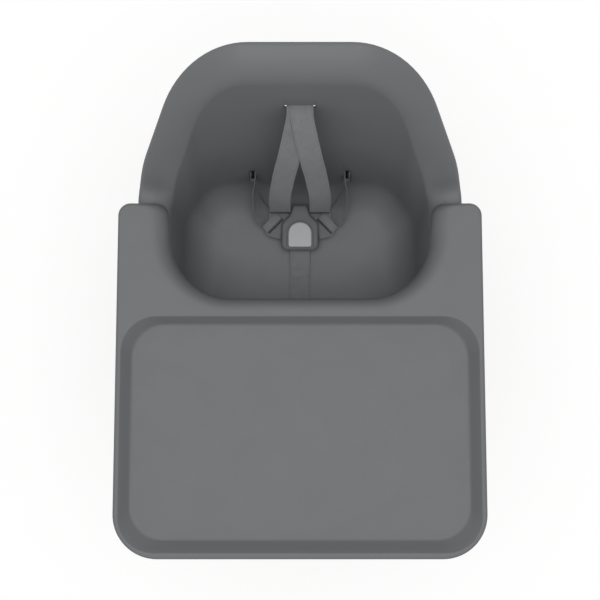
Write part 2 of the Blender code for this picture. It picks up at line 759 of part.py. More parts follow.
def anchor_bar(name, centre, direction, span, look):
    """A turned steel bar with a disc at each end, too long to pass through its slot."""
    half = span / 2
    profile = [
        (BAR_END_RADIUS, -half),
        (BAR_END_RADIUS, -half + BAR_END_LENGTH),
        (BAR_RADIUS, -half + BAR_END_LENGTH),
        (BAR_RADIUS, half - BAR_END_LENGTH),
        (BAR_END_RADIUS, half - BAR_END_LENGTH),
        (BAR_END_RADIUS, half),
    ]
    side = (0, 1, 0) if abs(Vector(direction).y) < PARALLEL_SHARE else (1, 0, 0)
    return add_object(name, turned(profile, SMALL_SIDES), look, frame=axis_frame(centre, direction, side))


def anchor_bars(look):
    """The bars behind the four places where webbing passes through the shell."""
    wide = STRAP_WIDTH + 2 * (SLOT_SIDE_CLEARANCE + STRAP_SPREAD + BAR_OVERHANG)
    anchor_bar("shoulder_strap_anchor", shoulder_bar_centre(), (1, 0, 0), wide, look)
    tall = WAIST_SLOT_LENGTH + 2 * BAR_OVERHANG
    for side, x in (("left", -WAIST_SLOT_X), ("right", WAIST_SLOT_X)):
        anchor_bar(f"waist_strap_anchor_{side}", waist_bar_centre(x), wall_plane()[1], tall, look)
    span = STRAP_WIDTH + 2 * (SLOT_SIDE_CLEARANCE + BAR_OVERHANG)
    anchor_bar("crotch_strap_anchor", crotch_bar_centre(), (1, 0, 0), span, look)


def tongue_bar_radius():
    return math.hypot(TONGUE_BAR_HALF, TONGUE_THICKNESS / 2)


def shoulder_straps(look):
    """Both shoulder straps share one slot and bar, the right one outside the left one."""
    for side, sign, outside in (("left", -1, 0), ("right", 1, 1)):
        radius = bar_loop_radius(BAR_RADIUS, outside)
        centre = shoulder_bar_centre() + Vector((sign * STRAP_SPREAD, 0, 0))
        start = bar_loop(centre, (0, 1, 0), (0, 0, 1), radius, SHELL_WALL + STRAP_TAIL)
        eye = Vector((sign * TONGUE_SHOULDER_X, TONGUE_SHOULDER_BAR_Y, tongue_middle()))
        end_radius = bar_loop_radius(tongue_bar_radius())
        end = bar_loop(eye, (0, 0, -1), (0, -1, 0), end_radius, STRAP_TAIL)
        way = end[0] - start[0]
        stops = [start[0] - Vector((0, SHELL_WALL + STRAP_TAIL, 0))]
        for across, forward, down in SHOULDER_ROUTE_SHARES:
            stops.append(start[0] + Vector((way.x * across, way.y * forward, way.z * down)))
        route = stops[:1]
        for before, stop, after, shares in zip(stops, stops[1:], [*stops[2:], end[0]], SHOULDER_ROUTE_SHARES):
            facing = Vector((1, 0, 0)).cross(before - after).normalized()
            route.append(stop + facing * outside * STRAP_THICKNESS * (STRAP_LIFT_SHARE - shares[0]))
        x_axis = Vector((1, 0, 0))
        full_strap(f"shoulder_strap_{side}", start, route, end, x_axis, x_axis, look)


def waist_straps(look):
    """From the bars beside the child's hips, turning flat on the way to the tongues' outer eyes."""
    up = wall_plane()[1]
    outwards = Vector((0, up.z, -up.y))
    tail = SHELL_WALL + STRAP_TAIL / 2
    for side, sign in (("left", -1), ("right", 1)):
        bar = waist_bar_centre(sign * WAIST_SLOT_X)
        start = bar_loop(bar, outwards, (-sign, 0, 0), bar_loop_radius(BAR_RADIUS), tail)
        eye = Vector((sign * TONGUE_WAIST_BAR_X, TONGUE_WAIST_Y, tongue_middle()))
        end = bar_loop(eye, (-sign, 0, 0), (0, 0, 1), bar_loop_radius(tongue_bar_radius()), STRAP_TAIL / 2)
        way = end[0] - start[0]
        route = [start[0] - outwards * tail]
        for across, forward, down in WAIST_ROUTE_SHARES:
            route.append(start[0] + Vector((way.x * across, way.y * forward, way.z * down)))
        route.append(end[0] + Vector((sign * STRAP_TAIL / 2, 0, 0)))
        full_strap(f"waist_strap_{side}", start, route, end, up, Vector((0, 1, 0)), look)


def crotch_strap(look):
    """Up through the pan, along it to the buckle's bar, and back on itself to a sewn end."""
    radius = bar_loop_radius(BAR_RADIUS)
    tail = SHELL_WALL + GAP
    start = bar_loop(crotch_bar_centre(), (0, 0, -1), (0, 1, 0), radius, tail)
    bar = Vector((0, BUCKLE_BAR_Y, buckle_bar_height()))
    end = bar_loop(bar, (0, 1, 0), (0, 0, -1), buckle_loop_radius(), 0)[:-1]
    lying = strap_rest_height()
    bend = STRAP_BEND
    rise = start[0].y
    route = [
        Vector((0, rise, SEAT_HEIGHT - bend)),
        Vector((0, rise + bend / 4, SEAT_HEIGHT - bend / 4)),
        Vector((0, rise + bend, lying)),
    ]
    for i in range(3):
        route.append(Vector((0, blend(rise + bend, BUCKLE_BAR_Y, (i + 1) / 4), lying)))
    top = end[-1].z
    folded = lying + STRAP_THICKNESS + GAP
    back = []
    for along, up in CROTCH_FOLD_SHARES:
        back.append(Vector((0, BUCKLE_BAR_Y - CROTCH_FOLD * along, blend(folded, top, up))))
    main = smooth_curve([start[0], *route, end[0]], 2)[1:-1]
    points = [*reversed(start), *main, *end, *smooth_curve([end[-1], *back], 2)[1:]]
    strap("crotch_strap", points, [Vector((1, 0, 0))] * len(points), look)


# Buckle
def strap_rest_height():
    """The height of webbing's middle where it lies on the pan."""
    return SEAT_HEIGHT + GAP + STRAP_THICKNESS / 2


def buckle_loop_radius():
    return bar_loop_radius(math.hypot(BUCKLE_BAR_HALF, BUCKLE_BACK_THICKNESS / 2))


def buckle_bar_height():
    return strap_rest_height() + buckle_loop_radius()


def buckle_bottom():
    """The underside of the housing, on top of the buckle's back."""
    return buckle_bar_height() + BUCKLE_BACK_THICKNESS / 2 + GAP


def buckle_top():
    return buckle_bottom() + BUCKLE_HEIGHT


def tongue_middle():
    return buckle_bottom() + TONGUE_HEIGHT + TONGUE_THICKNESS / 2


def buckle_outline(margin):
    corners = [
        (0, BUCKLE_FRONT_Y),
        (BUCKLE_HALF_WIDTH, BUCKLE_FRONT_Y),
        (BUCKLE_HALF_WIDTH, BUCKLE_SHOULDER_Y),
        (BUCKLE_HEAD_HALF_WIDTH, BUCKLE_HEAD_Y),
        (BUCKLE_NECK_HALF_WIDTH, BUCKLE_NECK_Y),
        (0, BUCKLE_NECK_Y),
    ]
    radius = BUCKLE_EDGE * 2
    radii = [0, radius, radius, BUCKLE_EDGE, BUCKLE_EDGE, 0]
    return full_outline(inset(corners, [margin] * 5), radii, [0, 3, 3, 1, 1, 0], [1, 1, 1, 1, 1])


def button_outline(margin):
    """An arch: straight sides, a round rear end and small front corners."""
    half = BUTTON_HALF_WIDTH + margin
    front = BUTTON_FRONT_Y - margin
    rear = BUTTON_REAR_Y + margin
    corners = [(0, front), (half, front), (half, rear), (0, rear)]
    return full_outline(corners, [0, BUCKLE_EDGE, half, 0], [0, 2, 7, 0], [1, 1, 1])


def button_floor():
    """The underside of the button's flange at rest."""
    return buckle_top() - BUCKLE_SKIN - GAP - BUTTON_FLANGE_THICKNESS


def buckle(housing_look, button_look, steel_look):
    top = buckle_top()
    bottom = buckle_bottom()
    loops = [
        flat_loop(buckle_outline(0), bottom),
        flat_loop(buckle_outline(0), top - BUCKLE_EDGE),
        flat_loop(buckle_outline(BUCKLE_EDGE / 3), top - BUCKLE_EDGE / 3),
        flat_loop(buckle_outline(BUCKLE_EDGE), top),
    ]
    housing = add_object("buckle_housing", loft(loops), housing_look)
    shaft = prism(button_outline(GAP), bottom - OVERRUN, top + OVERRUN)
    cut(housing, add_object("button_hole", shaft))
    room = prism(button_outline(BUTTON_FLANGE + GAP), bottom - OVERRUN, top - BUCKLE_SKIN)
    cut(housing, add_object("button_room", room))
    level = tongue_middle()
    reach = TONGUE_THICKNESS / 2 + GAP
    front = TONGUE_WAIST_Y - STRAP_WIDTH / 2 * BLADE_SLOT_SHARE
    low = (-2 * BUCKLE_HALF_WIDTH, front, level - reach)
    high = (2 * BUCKLE_HALF_WIDTH, BUCKLE_NECK_Y + OVERRUN, level + reach)
    cut(housing, add_object("tongue_slot", box(low, high)))
    half = STRAP_WIDTH / 2 + GAP * 2
    low = (-half, BUCKLE_FRONT_Y - OVERRUN, bottom - OVERRUN)
    high = (half, BUTTON_FRONT_Y + OVERRUN, bottom + STRAP_THICKNESS + GAP * 4)
    cut(housing, add_object("strap_channel", box(low, high)))

    buckle_back(housing_look)
    floor = button_floor()
    proud = top + BUTTON_PROUD
    loops = [
        flat_loop(button_outline(BUTTON_FLANGE), floor),
        flat_loop(button_outline(BUTTON_FLANGE), floor + BUTTON_FLANGE_THICKNESS),
        flat_loop(button_outline(0), floor + BUTTON_FLANGE_THICKNESS),
        flat_loop(button_outline(0), proud - BUTTON_FLANGE_THICKNESS),
        flat_loop(button_outline(-BUTTON_FLANGE_THICKNESS), proud),
    ]
    middle = (0, (BUTTON_FRONT_Y + BUTTON_REAR_Y) / 2, floor)
    add_object("buckle_button", loft(loops), button_look, origin=middle)
    spring = coil(BUTTON_SPRING_RADIUS, bottom + SPRING_WIRE, floor - GAP - SPRING_WIRE, 5)
    place = Vector((0, middle[1], 0))
    spring_object("button_spring", [place + p for p in spring], steel_look)
    for side, sign in (("left", -1), ("right", 1)):
        buckle_tongue(side, sign, housing_look)


def buckle_back(look):
    """The plate under the housing, with the crotch strap's bar and a pad that rests on the pan."""
    top = buckle_bottom() - GAP
    bottom = top - BUCKLE_BACK_THICKNESS
    low = bottom - OVERRUN
    high = top + OVERRUN
    back = add_object("buckle_back", prism(buckle_outline(GAP * 3), bottom, top), look)
    half = BUCKLE_HALF_WIDTH * 2
    front = box((-half, BUCKLE_FRONT_Y - OVERRUN, low), (half, BUCKLE_BAR_Y - BUCKLE_BAR_HALF, high))
    cut(back, add_object("back_front_cut", front))
    neck = box((-half, BUCKLE_HEAD_Y, low), (half, BUCKLE_NECK_Y + OVERRUN, high))
    cut(back, add_object("back_neck_cut", neck))
    half = STRAP_WIDTH / 2 + GAP
    rear = BUCKLE_BAR_Y + TONGUE_EYE
    eye = box((-half, BUCKLE_BAR_Y + BUCKLE_BAR_HALF, low), (half, rear, high))
    cut(back, add_object("back_eye", eye))
    foot = (BUCKLE_HEAD_HALF_WIDTH, rear + BUCKLE_EDGE, BUCKLE_SHOULDER_Y, BUCKLE_EDGE)
    pad = prism(rounded_rectangle(*foot), SEAT_HEIGHT + GAP, bottom + BUCKLE_BACK_THICKNESS / 2)
    join(back, add_object("back_pad", pad))


def buckle_tongue(side, sign, look):
    """A moulded plate with a blade for the housing and an eye for each of its two straps."""
    inner = TONGUE_INNER_X
    half = STRAP_WIDTH / 2
    waist_rear = TONGUE_WAIST_Y + half + GAP + TONGUE_RIM
    waist_front = TONGUE_WAIST_Y - half - GAP - TONGUE_RIM
    outer = TONGUE_WAIST_BAR_X + TONGUE_BAR_HALF
    eye_outer = TONGUE_SHOULDER_X + half + GAP
    eye_inner = TONGUE_SHOULDER_X - half - GAP
    bar_rear = TONGUE_SHOULDER_BAR_Y + TONGUE_BAR_HALF
    bar_front = TONGUE_SHOULDER_BAR_Y - TONGUE_BAR_HALF
    eye_front = bar_front - TONGUE_EYE * EYE_SHARE
    blade_front = TONGUE_WAIST_Y - half * BLADE_SHARE
    outline = [
        (inner, blade_front),
        (BUCKLE_HALF_WIDTH + GAP * 2, blade_front),
        (BUCKLE_HALF_WIDTH + GAP * 2, waist_front),
        (outer, waist_front),
        (outer, waist_rear),
        (eye_outer + TONGUE_RIM, eye_front),
        (eye_outer + TONGUE_RIM, bar_rear),
        (eye_inner - TONGUE_RIM, bar_rear),
        (eye_inner - TONGUE_RIM, eye_front),
        (inner, waist_rear),
    ]
    outline = [(sign * x, y) for x, y in outline]
    low = tongue_middle() - TONGUE_THICKNESS / 2
    high = low + TONGUE_THICKNESS
    tongue = add_object(f"buckle_tongue_{side}", prism(outline, low, high), look)
    spans = {
        "shoulder": ((eye_inner, eye_front), (eye_outer, bar_front)),
        "waist": (
            (outer - 2 * TONGUE_BAR_HALF - TONGUE_EYE, waist_front + TONGUE_RIM),
            (outer - 2 * TONGUE_BAR_HALF, waist_rear - TONGUE_RIM),
        ),
    }
    for eye, ((x0, y0), (x1, y1)) in spans.items():
        left, right = sorted((sign * x0, sign * x1))
        hole = box((left, y0, low - OVERRUN), (right, y1, high + OVERRUN))
        cut(tongue, add_object(f"tongue_{side}_{eye}_eye", hole))


def coil(radius, low, high, turns, points_per_turn=6):
    """Points of a helix about Z."""
    count = turns * points_per_turn
    points = []
    for i in range(count + 1):
        angle = 2 * math.pi * i / points_per_turn
        height = blend(low, high, i / count)
        points.append(Vector((radius * math.cos(angle), radius * math.sin(angle), height)))
    return points


def spring_object(name, points, look):
    """A spring: wire bent along points, with closed ends."""
    curve = bpy.data.curves.new(name, "CURVE")
    curve.dimensions = "3D"
    curve.bevel_depth = SPRING_WIRE
    curve.bevel_resolution = 0
    curve.use_fill_caps = True
    line = curve.splines.new("POLY")
    line.points.add(len(points) - 1)
    for target, point in zip(line.points, points):
        target.co = (*point, 1.0)
    curve.materials.append(look)
    obj = bpy.data.objects.new(name, curve)
    bpy.context.scene.collection.objects.link(obj)
    return obj


# Tray
TRAY_ARCS = [0, 6, 3, 3, 7, 0]
TRAY_LEGS = [2, 4, 1, 2, 2]


def tray_corners():
    return [
        (0, TRAY_FRONT_Y),
        (TRAY_FRONT_HALF_WIDTH, TRAY_FRONT_Y),
        (TRAY_REAR_HALF_WIDTH, WING_REAR_Y),
        (WING_INNER_REAR_X, WING_REAR_Y),
        (CUTOUT_HALF_WIDTH, CUTOUT_Y),
        (0, CUTOUT_Y),
    ]


def dish_corners():
    """The dish's rim, parallel to the tray's sides."""
    sides = inset(tray_corners(), [DISH_FRONT_MARGIN, DISH_SIDE_MARGIN, 0, 0, 0])
    front = sides[1]
    along = sides[2] - front
    rear = front + along * ((DISH_REAR_Y - front.y) / along.y)
    return [(0, front.y), front, rear, (0, DISH_REAR_Y)]


def tray_edge_rings():
    """Loops from the flat top over the rolled edge and down the skirt."""
    outer = tray_corners()
    rolls = [TRAY_EDGE_ROLL, TRAY_EDGE_ROLL, TRAY_EDGE_ROLL, WING_ROLL, CUTOUT_ROLL]
    flat = inset(outer, rolls)
    r = WING_CORNER_RADIUS
    outer_radii = [0, TRAY_CORNER_RADIUS, r, r, CUTOUT_RADIUS, 0]
    flat_radii = [0, TRAY_CORNER_RADIUS - TRAY_EDGE_ROLL, r - TRAY_EDGE_ROLL / 2, r / 2, 0, 0]
    flat_radii[4] = CUTOUT_RADIUS + (WING_ROLL + CUTOUT_ROLL) / 2
    outside = full_outline(outer, outer_radii, TRAY_ARCS, TRAY_LEGS)
    inside = full_outline(flat, flat_radii, TRAY_ARCS, TRAY_LEGS)
    rings = []
    steps = 3
    for k in range(steps + 1):
        turn = math.pi / 2 * k / steps
        ring = []
        for a, b in zip(inside, outside):
            drop = min((b - a).length, TRAY_HEIGHT - skirt_bottom(b.y) - TRAY_WALL)
            plan = a.lerp(b, math.sin(turn))
            ring.append(Vector((*plan, TRAY_HEIGHT - drop * (1 - math.cos(turn)))))
        rings.append(ring)
    rings.append([Vector((*p, skirt_bottom(p.y))) for p in outside])
    return rings


def skirt_bottom(y):
    """The skirt's lower edge: deep along the tray, and clear of the armrest's lip at the wing's end."""
    start = WING_REAR_Y - 3 * WING_CORNER_RADIUS
    share = smooth_step((y - start) / (1.5 * WING_CORNER_RADIUS))
    return blend(TRAY_HEIGHT - SKIRT_DEPTH, ARM_HEIGHT + WING_CLEARANCE, share)


def dish_rings():
    """Loops from the dish's flat floor up its sloping side to the flat rim."""
    rim = dish_corners()
    slopes = [DISH_FRONT_SLOPE, DISH_SIDE_SLOPE, DISH_REAR_SLOPE]
    foot = inset(rim, slopes)
    floor = inset(foot, [DISH_FOOT_FILLET] * 3)
    outside = inset(rim, [-DISH_TOP_FILLET] * 3)
    high = TRAY_HEIGHT
    low = TRAY_HEIGHT - DISH_DEPTH
    outlines = []
    slope = DISH_SIDE_SLOPE
    margins = [-DISH_TOP_FILLET, 0, slope, slope + DISH_FOOT_FILLET]
    for corners, margin in zip((outside, rim, foot, floor), margins):
        radii = [0, DISH_FRONT_RADIUS - margin, DISH_REAR_RADIUS - margin, 0]
        outlines.append(full_outline(corners, radii, [0, 6, 6, 0], [2, 3, 2]))
    sections = []
    for a, b, c, d in zip(*outlines):
        path = [(*a, high), (*b, high), (*c, low), (*d, low)]
        radii = [0, DISH_TOP_FILLET, DISH_FOOT_FILLET, 0]
        sections.append(rounded_path(path, radii, [0, 1, 2, 0], [1, 1, 1])[1:-1])
    return [list(ring) for ring in zip(*sections)]


def add_rings(bm, rings):
    """Bridge loops inside a bmesh that already exists, and give back their vertices."""
    verts = [[bm.verts.new(p) for p in ring] for ring in rings]
    for low, high in zip(verts, verts[1:]):
        for i in range(len(low)):
            j = (i + 1) % len(low)
            bm.faces.new((low[i], low[j], high[j], high[i]))
    return verts


def ring_edges(ring):
    return [e for v in ring for e in v.link_edges if e.other_vert(v) in set(ring)]


def tray_top(look, carriage):
    """The tray: dish, rim, rolled edges and skirt as one surface, thickened and ribbed."""
    bm = bmesh.new()
    dish = add_rings(bm, dish_rings())
    edge = add_rings(bm, tray_edge_rings())
    bm.faces.new(dish[-1])
    border = list(dict.fromkeys(ring_edges(dish[0]) + ring_edges(edge[0])))
    bmesh.ops.triangle_fill(bm, use_beauty=True, use_dissolve=False, edges=border)
    tray = add_object("tray_top", bm, look)
    floor = max(tray.data.polygons, key=lambda p: len(p.vertices))
    if floor.normal.z < 0:
        tray.data.flip_normals()
    skin = tray.modifiers.new("wall", "SOLIDIFY")
    skin.thickness = TRAY_WALL
    skin.offset = -1
    skin.use_even_offset = True
    skin.use_quality_normals = True
    tray_ribs(tray)
    for side, sign in (("left", -1), ("right", 1)):
        for i, y in enumerate(rail_screw_places()):
            frame = Matrix.Translation((sign * rail_screw_x(), y, 0))
            boss = rod(TRAY_BOSS_RADIUS, rail_top() + GAP, TRAY_HEIGHT - TRAY_WALL / 2, SMALL_SIDES)
            join(tray, add_object(f"tray_boss_{side}_{i}", boss, frame=frame))
            tip = rail_top() + RAIL_SCREW_BITE
            bore = rod(RAIL_SCREW_RADIUS + GAP, rail_top() - OVERRUN, tip + GAP, SMALL_SIDES)
            cut(tray, add_object(f"tray_bore_{side}_{i}", bore, frame=frame))
    tray.parent = carriage
    return tray


def tray_ribs(tray):
    """Ribs under the dish, each a thin wall fused to its floor."""
    top = TRAY_HEIGHT - DISH_DEPTH - TRAY_WALL / 2
    bottom = top - TRAY_RIB_DEPTH
    foot = inset(dish_corners(), [DISH_FRONT_SLOPE, DISH_SIDE_SLOPE, DISH_REAR_SLOPE])
    half_width = foot[2].x - DISH_SIDE_SLOPE
    front = foot[0].y + DISH_FRONT_SLOPE
    rear = foot[-1].y - DISH_REAR_SLOPE
    half = TRAY_RIB / 2
    for i in range(3):
        y = blend(front, rear, (i + 1) / 4)
        rib = box((-half_width, y - half, bottom), (half_width, y + half, top))
        join(tray, add_object(f"tray_cross_rib_{i}", rib))
    for i in range(4):
        x = blend(-half_width, half_width, (i + 0.5) / 4)
        rib = box((x - half, front, bottom), (x + half, rear, top))
        join(tray, add_object(f"tray_long_rib_{i}", rib))


# Runners and latches
def rail_bottom():
    return ARM_HEIGHT + GAP


def rail_top():
    return rail_bottom() + RAIL_HEIGHT


def rail_web_inner():
    return RIM_HALF_WIDTH + 2 * GAP


def rail_web_outer():
    return rail_web_inner() + RAIL_WEB


def rail_screw_x():
    return (RAIL_INNER_X + RIM_HALF_WIDTH) / 2


def rail_screw_places():
    return [RAIL_FRONT_Y + RAIL_SCREW_INSET, RAIL_FRONT_Y + RAIL_LENGTH - RAIL_SCREW_INSET]


def rail_middle():
    return RAIL_FRONT_Y + RAIL_LENGTH / 2


def tongue_level():
    """The middle height of the latch's guide inside its runner."""
    return rail_bottom() + RAIL_HEIGHT / 2


def wing_rail(side, sign, look, carriage):
    """A runner screwed under a wing: it rides on the armrest's lip and down its outer edge."""
    low = rail_bottom()
    section = [
        (sign * RAIL_INNER_X, low),
        (sign * rail_web_inner(), low),
        (sign * rail_web_inner(), low - RAIL_WEB_DROP),
        (sign * rail_web_outer(), low - RAIL_WEB_DROP),
        (sign * rail_web_outer(), rail_top()),
        (sign * RAIL_INNER_X, rail_top()),
    ]
    bm = side_prism(section, RAIL_FRONT_Y, RAIL_FRONT_Y + RAIL_LENGTH)
    rail = add_object(f"wing_rail_{side}", bm, look)
    half = LATCH_TONGUE_WIDTH / 2 + GAP
    reach = LATCH_TONGUE_THICKNESS / 2 + GAP
    inner = sign * (rail_web_outer() - LATCH_TONGUE_REACH - GAP)
    outer = sign * (rail_web_outer() + OVERRUN)
    front = (min(inner, outer), rail_middle() - half, tongue_level() - reach)
    rear = (max(inner, outer), rail_middle() + half, tongue_level() + reach)
    cut(rail, add_object(f"rail_slot_{side}", box(front, rear)))
    for i, y in enumerate(rail_screw_places()):
        frame = Matrix.Translation((sign * rail_screw_x(), y, 0))
        hole = turned(
            [
                (RAIL_SCREW_HEAD_RADIUS + GAP, low - OVERRUN),
                (RAIL_SCREW_HEAD_RADIUS + GAP, low + RAIL_SCREW_HEAD + 2 * GAP),
                (RAIL_SCREW_RADIUS + GAP, low + RAIL_SCREW_HEAD + 2 * GAP),
                (RAIL_SCREW_RADIUS + GAP, rail_top() + OVERRUN),
            ],
            SMALL_SIDES,
        )
        cut(rail, add_object(f"rail_hole_{side}_{i}", hole, frame=frame))
    rail.parent = carriage


def screw(name, place, direction, radius, head_radius, head, shank, look, parent=None):
    """A pan-head screw: its head's seat is at place and its shank runs along direction."""
    profile = [
        (head_radius * SCREW_CROWN_SHARE, -head),
        (head_radius, 0),
        (radius, 0),
        (radius, shank),
    ]
    side = (1, 0, 0) if abs(Vector(direction).normalized().x) < PARALLEL_SHARE else (0, 1, 0)
    obj = add_object(name, turned(profile, SMALL_SIDES), look, frame=axis_frame(place, direction, side))
    if parent:
        obj.parent = parent
    return obj


def rail_screws(side, sign, look, carriage):
    seat = rail_bottom() + RAIL_SCREW_HEAD + GAP
    shank = rail_top() + RAIL_SCREW_BITE - seat - GAP
    for end, y in zip(("front", "rear"), rail_screw_places()):
        place = (sign * rail_screw_x(), y, seat)
        sizes = (RAIL_SCREW_RADIUS, RAIL_SCREW_HEAD_RADIUS, RAIL_SCREW_HEAD, shank)
        screw(f"rail_screw_{end}_{side}", place, (0, 0, 1), *sizes, look, carriage)


def latch(side, sign, look, carriage):
    """A hook under the lip's edge on a plate with a finger tab, guided by a tongue in the runner."""
    inner = rail_web_outer() + GAP
    outer = inner + LATCH_THICKNESS
    hook_top = min(ARM_HEIGHT - LIP_DROP, rail_bottom() - RAIL_WEB_DROP) - 2 * GAP
    hook_bottom = hook_top - LATCH_HOOK_THICKNESS
    tip = RIM_HALF_WIDTH - LATCH_HOOK_REACH
    tab = hook_bottom - LATCH_TAB_DEPTH
    section = [
        (tip, hook_bottom),
        (inner, hook_bottom),
        (inner, tab + LATCH_TAB_CURL * 2),
        (inner - LATCH_TAB_CURL, tab + LATCH_TAB_CURL),
        (inner - LATCH_TAB_CURL, tab),
        (outer, tab),
        (outer, rail_top() - LATCH_TOP_DROP / 2),
        (inner, rail_top() - LATCH_TOP_DROP / 2),
        (inner, hook_top),
        (tip + LATCH_HOOK_THICKNESS / 3, hook_top),
        (tip, hook_top - LATCH_HOOK_THICKNESS / 3),
    ]
    section = [(sign * x, z) for x, z in section]
    middle = rail_middle()
    origin = Vector((sign * inner, middle, tongue_level()))
    half = LATCH_LENGTH / 2
    bm = side_prism(section, middle - half, middle + half)
    body = add_object(f"latch_{side}", bm, look, origin=origin)
    reach = LATCH_TONGUE_THICKNESS / 2
    x0 = sign * (rail_web_outer() - LATCH_TONGUE_REACH)
    x1 = sign * (inner + LATCH_THICKNESS / 2)
    width = LATCH_TONGUE_WIDTH / 2
    front = (min(x0, x1), middle - width, tongue_level() - reach)
    rear = (max(x0, x1), middle + width, tongue_level() + reach)
    join(body, add_object(f"latch_guide_{side}", box(front, rear)))
    body.parent = carriage
    return outer


def skirt_inside(y):
    """Half the clear width between the skirts at a place along the tray."""
    share = (y - TRAY_FRONT_Y) / (WING_REAR_Y - TRAY_FRONT_Y)
    return blend(TRAY_FRONT_HALF_WIDTH, TRAY_REAR_HALF_WIDTH, share) - TRAY_WALL


def latch_spring(side, sign, outer, look, carriage):
    low = outer + GAP + SPRING_WIRE
    high = skirt_inside(rail_middle() + LATCH_SPRING_RADIUS) - 2 * GAP - SPRING_WIRE
    points = []
    for p in coil(LATCH_SPRING_RADIUS, low, high, 4):
        points.append(Vector((sign * p.z, rail_middle() + p.x, tongue_level() + p.y)))
    spring_object(f"latch_spring_{side}", points, look).parent = carriage


# Seat base
def base_top():
    return SEAT_HEIGHT - SHELL_WALL - BOSS_HEIGHT - GAP


def leg_lines():
    """Name, top point, foot point of each leg's middle line."""
    lines = []
    height = base_top() - SOCKET_ROOF
    for side, sign in (("left", -1), ("right", 1)):
        for end, top, foot in (("front", LEG_TOP_FRONT, FOOT_FRONT), ("rear", LEG_TOP_REAR, FOOT_REAR)):
            a = Vector((sign * top[0], top[1], height))
            b = Vector((sign * foot[0], foot[1], 0))
            lines.append((f"{end}_{side}", a, b))
    return lines


def leg_frame(top, foot):
    """A frame at the leg's top with Z down along it and X level."""
    down = (foot - top).normalized()
    level = down.cross(Vector((0, 0, 1)))
    return axis_frame(top, down, level)


def ring_prism(outer, inner, low, high):
    """A flat ring between two outlines with equal counts."""
    loops = [
        flat_loop(outer, low),
        flat_loop(outer, high),
        flat_loop(inner, high),
        flat_loop(inner, low),
    ]
    return loft(loops, close_ends=False, close_path=True)


def seat_base(look):
    """A channel-shaped frame with a tilted socket at each corner."""
    top = base_top()
    outer = rounded_rectangle(BASE_HALF_WIDTH, BASE_FRONT_Y, BASE_REAR_Y, BASE_CORNER_RADIUS)
    window = (BASE_WINDOW_HALF_WIDTH, BASE_WINDOW_FRONT_Y, BASE_WINDOW_REAR_Y, BASE_WINDOW_RADIUS)
    inner = rounded_rectangle(*window)
    base = add_object("seat_base", ring_prism(outer, inner, top - BASE_HEIGHT, top), look)
    w = BASE_PLATE
    half = BASE_HALF_WIDTH - w
    outer = rounded_rectangle(half, BASE_FRONT_Y + w, BASE_REAR_Y - w, BASE_CORNER_RADIUS - w)
    half, front, rear, radius = window
    inner = rounded_rectangle(half + w, front - w, rear + w, radius + w)
    pocket = ring_prism(outer, inner, top - BASE_HEIGHT - OVERRUN, top - BASE_PLATE)
    cut(base, add_object("base_pocket", pocket))
    for name, a, b in leg_lines():
        frame = leg_frame(a, b)
        outside = LEG_TOP_RADIUS + GAP + SOCKET_WALL
        socket = rod(outside, -SOCKET_ROOF * 2, SOCKET_DEPTH)
        join(base, add_object(f"socket_{name}", socket, frame=frame))
        flat = outside + BOLT_FLAT_PROUD
        flats = rod(BOLT_FLAT_RADIUS, -flat, flat, SMALL_SIDES)
        join(base, add_object(f"bolt_flats_{name}", flats, frame=cross_frame(a, b)))
    above = box(
        (-BASE_HALF_WIDTH * 2, BASE_FRONT_Y * 2, top),
        (BASE_HALF_WIDTH * 2, BASE_REAR_Y * 2, top + SOCKET_ROOF * 4),
    )
    cut(base, add_object("base_top_cut", above))
    for name, a, b in leg_lines():
        bore = rod(LEG_TOP_RADIUS + GAP, -GAP, SOCKET_DEPTH + OVERRUN)
        cut(base, add_object(f"socket_bore_{name}", bore, frame=leg_frame(a, b)))
        reach = LEG_TOP_RADIUS + SOCKET_WALL + BOLT_FLAT_RADIUS
        hole = rod(BOLT_RADIUS + GAP, -reach, reach, SMALL_SIDES)
        cut(base, add_object(f"bolt_hole_{name}", hole, frame=cross_frame(a, b)))
    for i, (x, y) in enumerate(boss_places()):
        hole = rod(BASE_SCREW_RADIUS + GAP, top - BASE_PLATE - OVERRUN, top + OVERRUN, SMALL_SIDES)
        cut(base, add_object(f"base_hole_{i}", hole, frame=Matrix.Translation((x, y, 0))))
    return base


def base_screws(look):
    seat = base_top() - BASE_PLATE - GAP
    shank = BASE_PLATE + GAP + BASE_SCREW_BITE - GAP
    names = [f"base_screw_{end}_{side}" for side in ("left", "right") for end in ("front", "rear")]
    for name, (x, y) in zip(names, boss_places()):
        sizes = (BASE_SCREW_RADIUS, BASE_SCREW_HEAD_RADIUS, BASE_SCREW_HEAD, shank)
        screw(name, (x, y, seat), (0, 0, 1), *sizes, look)


# Legs
def cross_frame(top, foot):
    """A frame across a leg at its bolt, with Z level."""
    down = (foot - top).normalized()
    level = down.cross(Vector((0, 0, 1))).normalized()
    inwards = -level if level.x * top.x > 0 else level
    return axis_frame(top + down * BOLT_DEPTH, inwards, down)


def leg_length(top, foot):
    """From the leg's top to the floor of its cap."""
    return (foot - top).length - CAP_FLOOR


def leg_radius(top, foot, along):
    """The radius of the taper at a distance from the top."""
    start = SOCKET_DEPTH + LEG_BEAD * 2
    share = (along - start) / (leg_length(top, foot) - start)
    return blend(LEG_TOP_RADIUS + LEG_BEAD, LEG_FOOT_RADIUS, share)


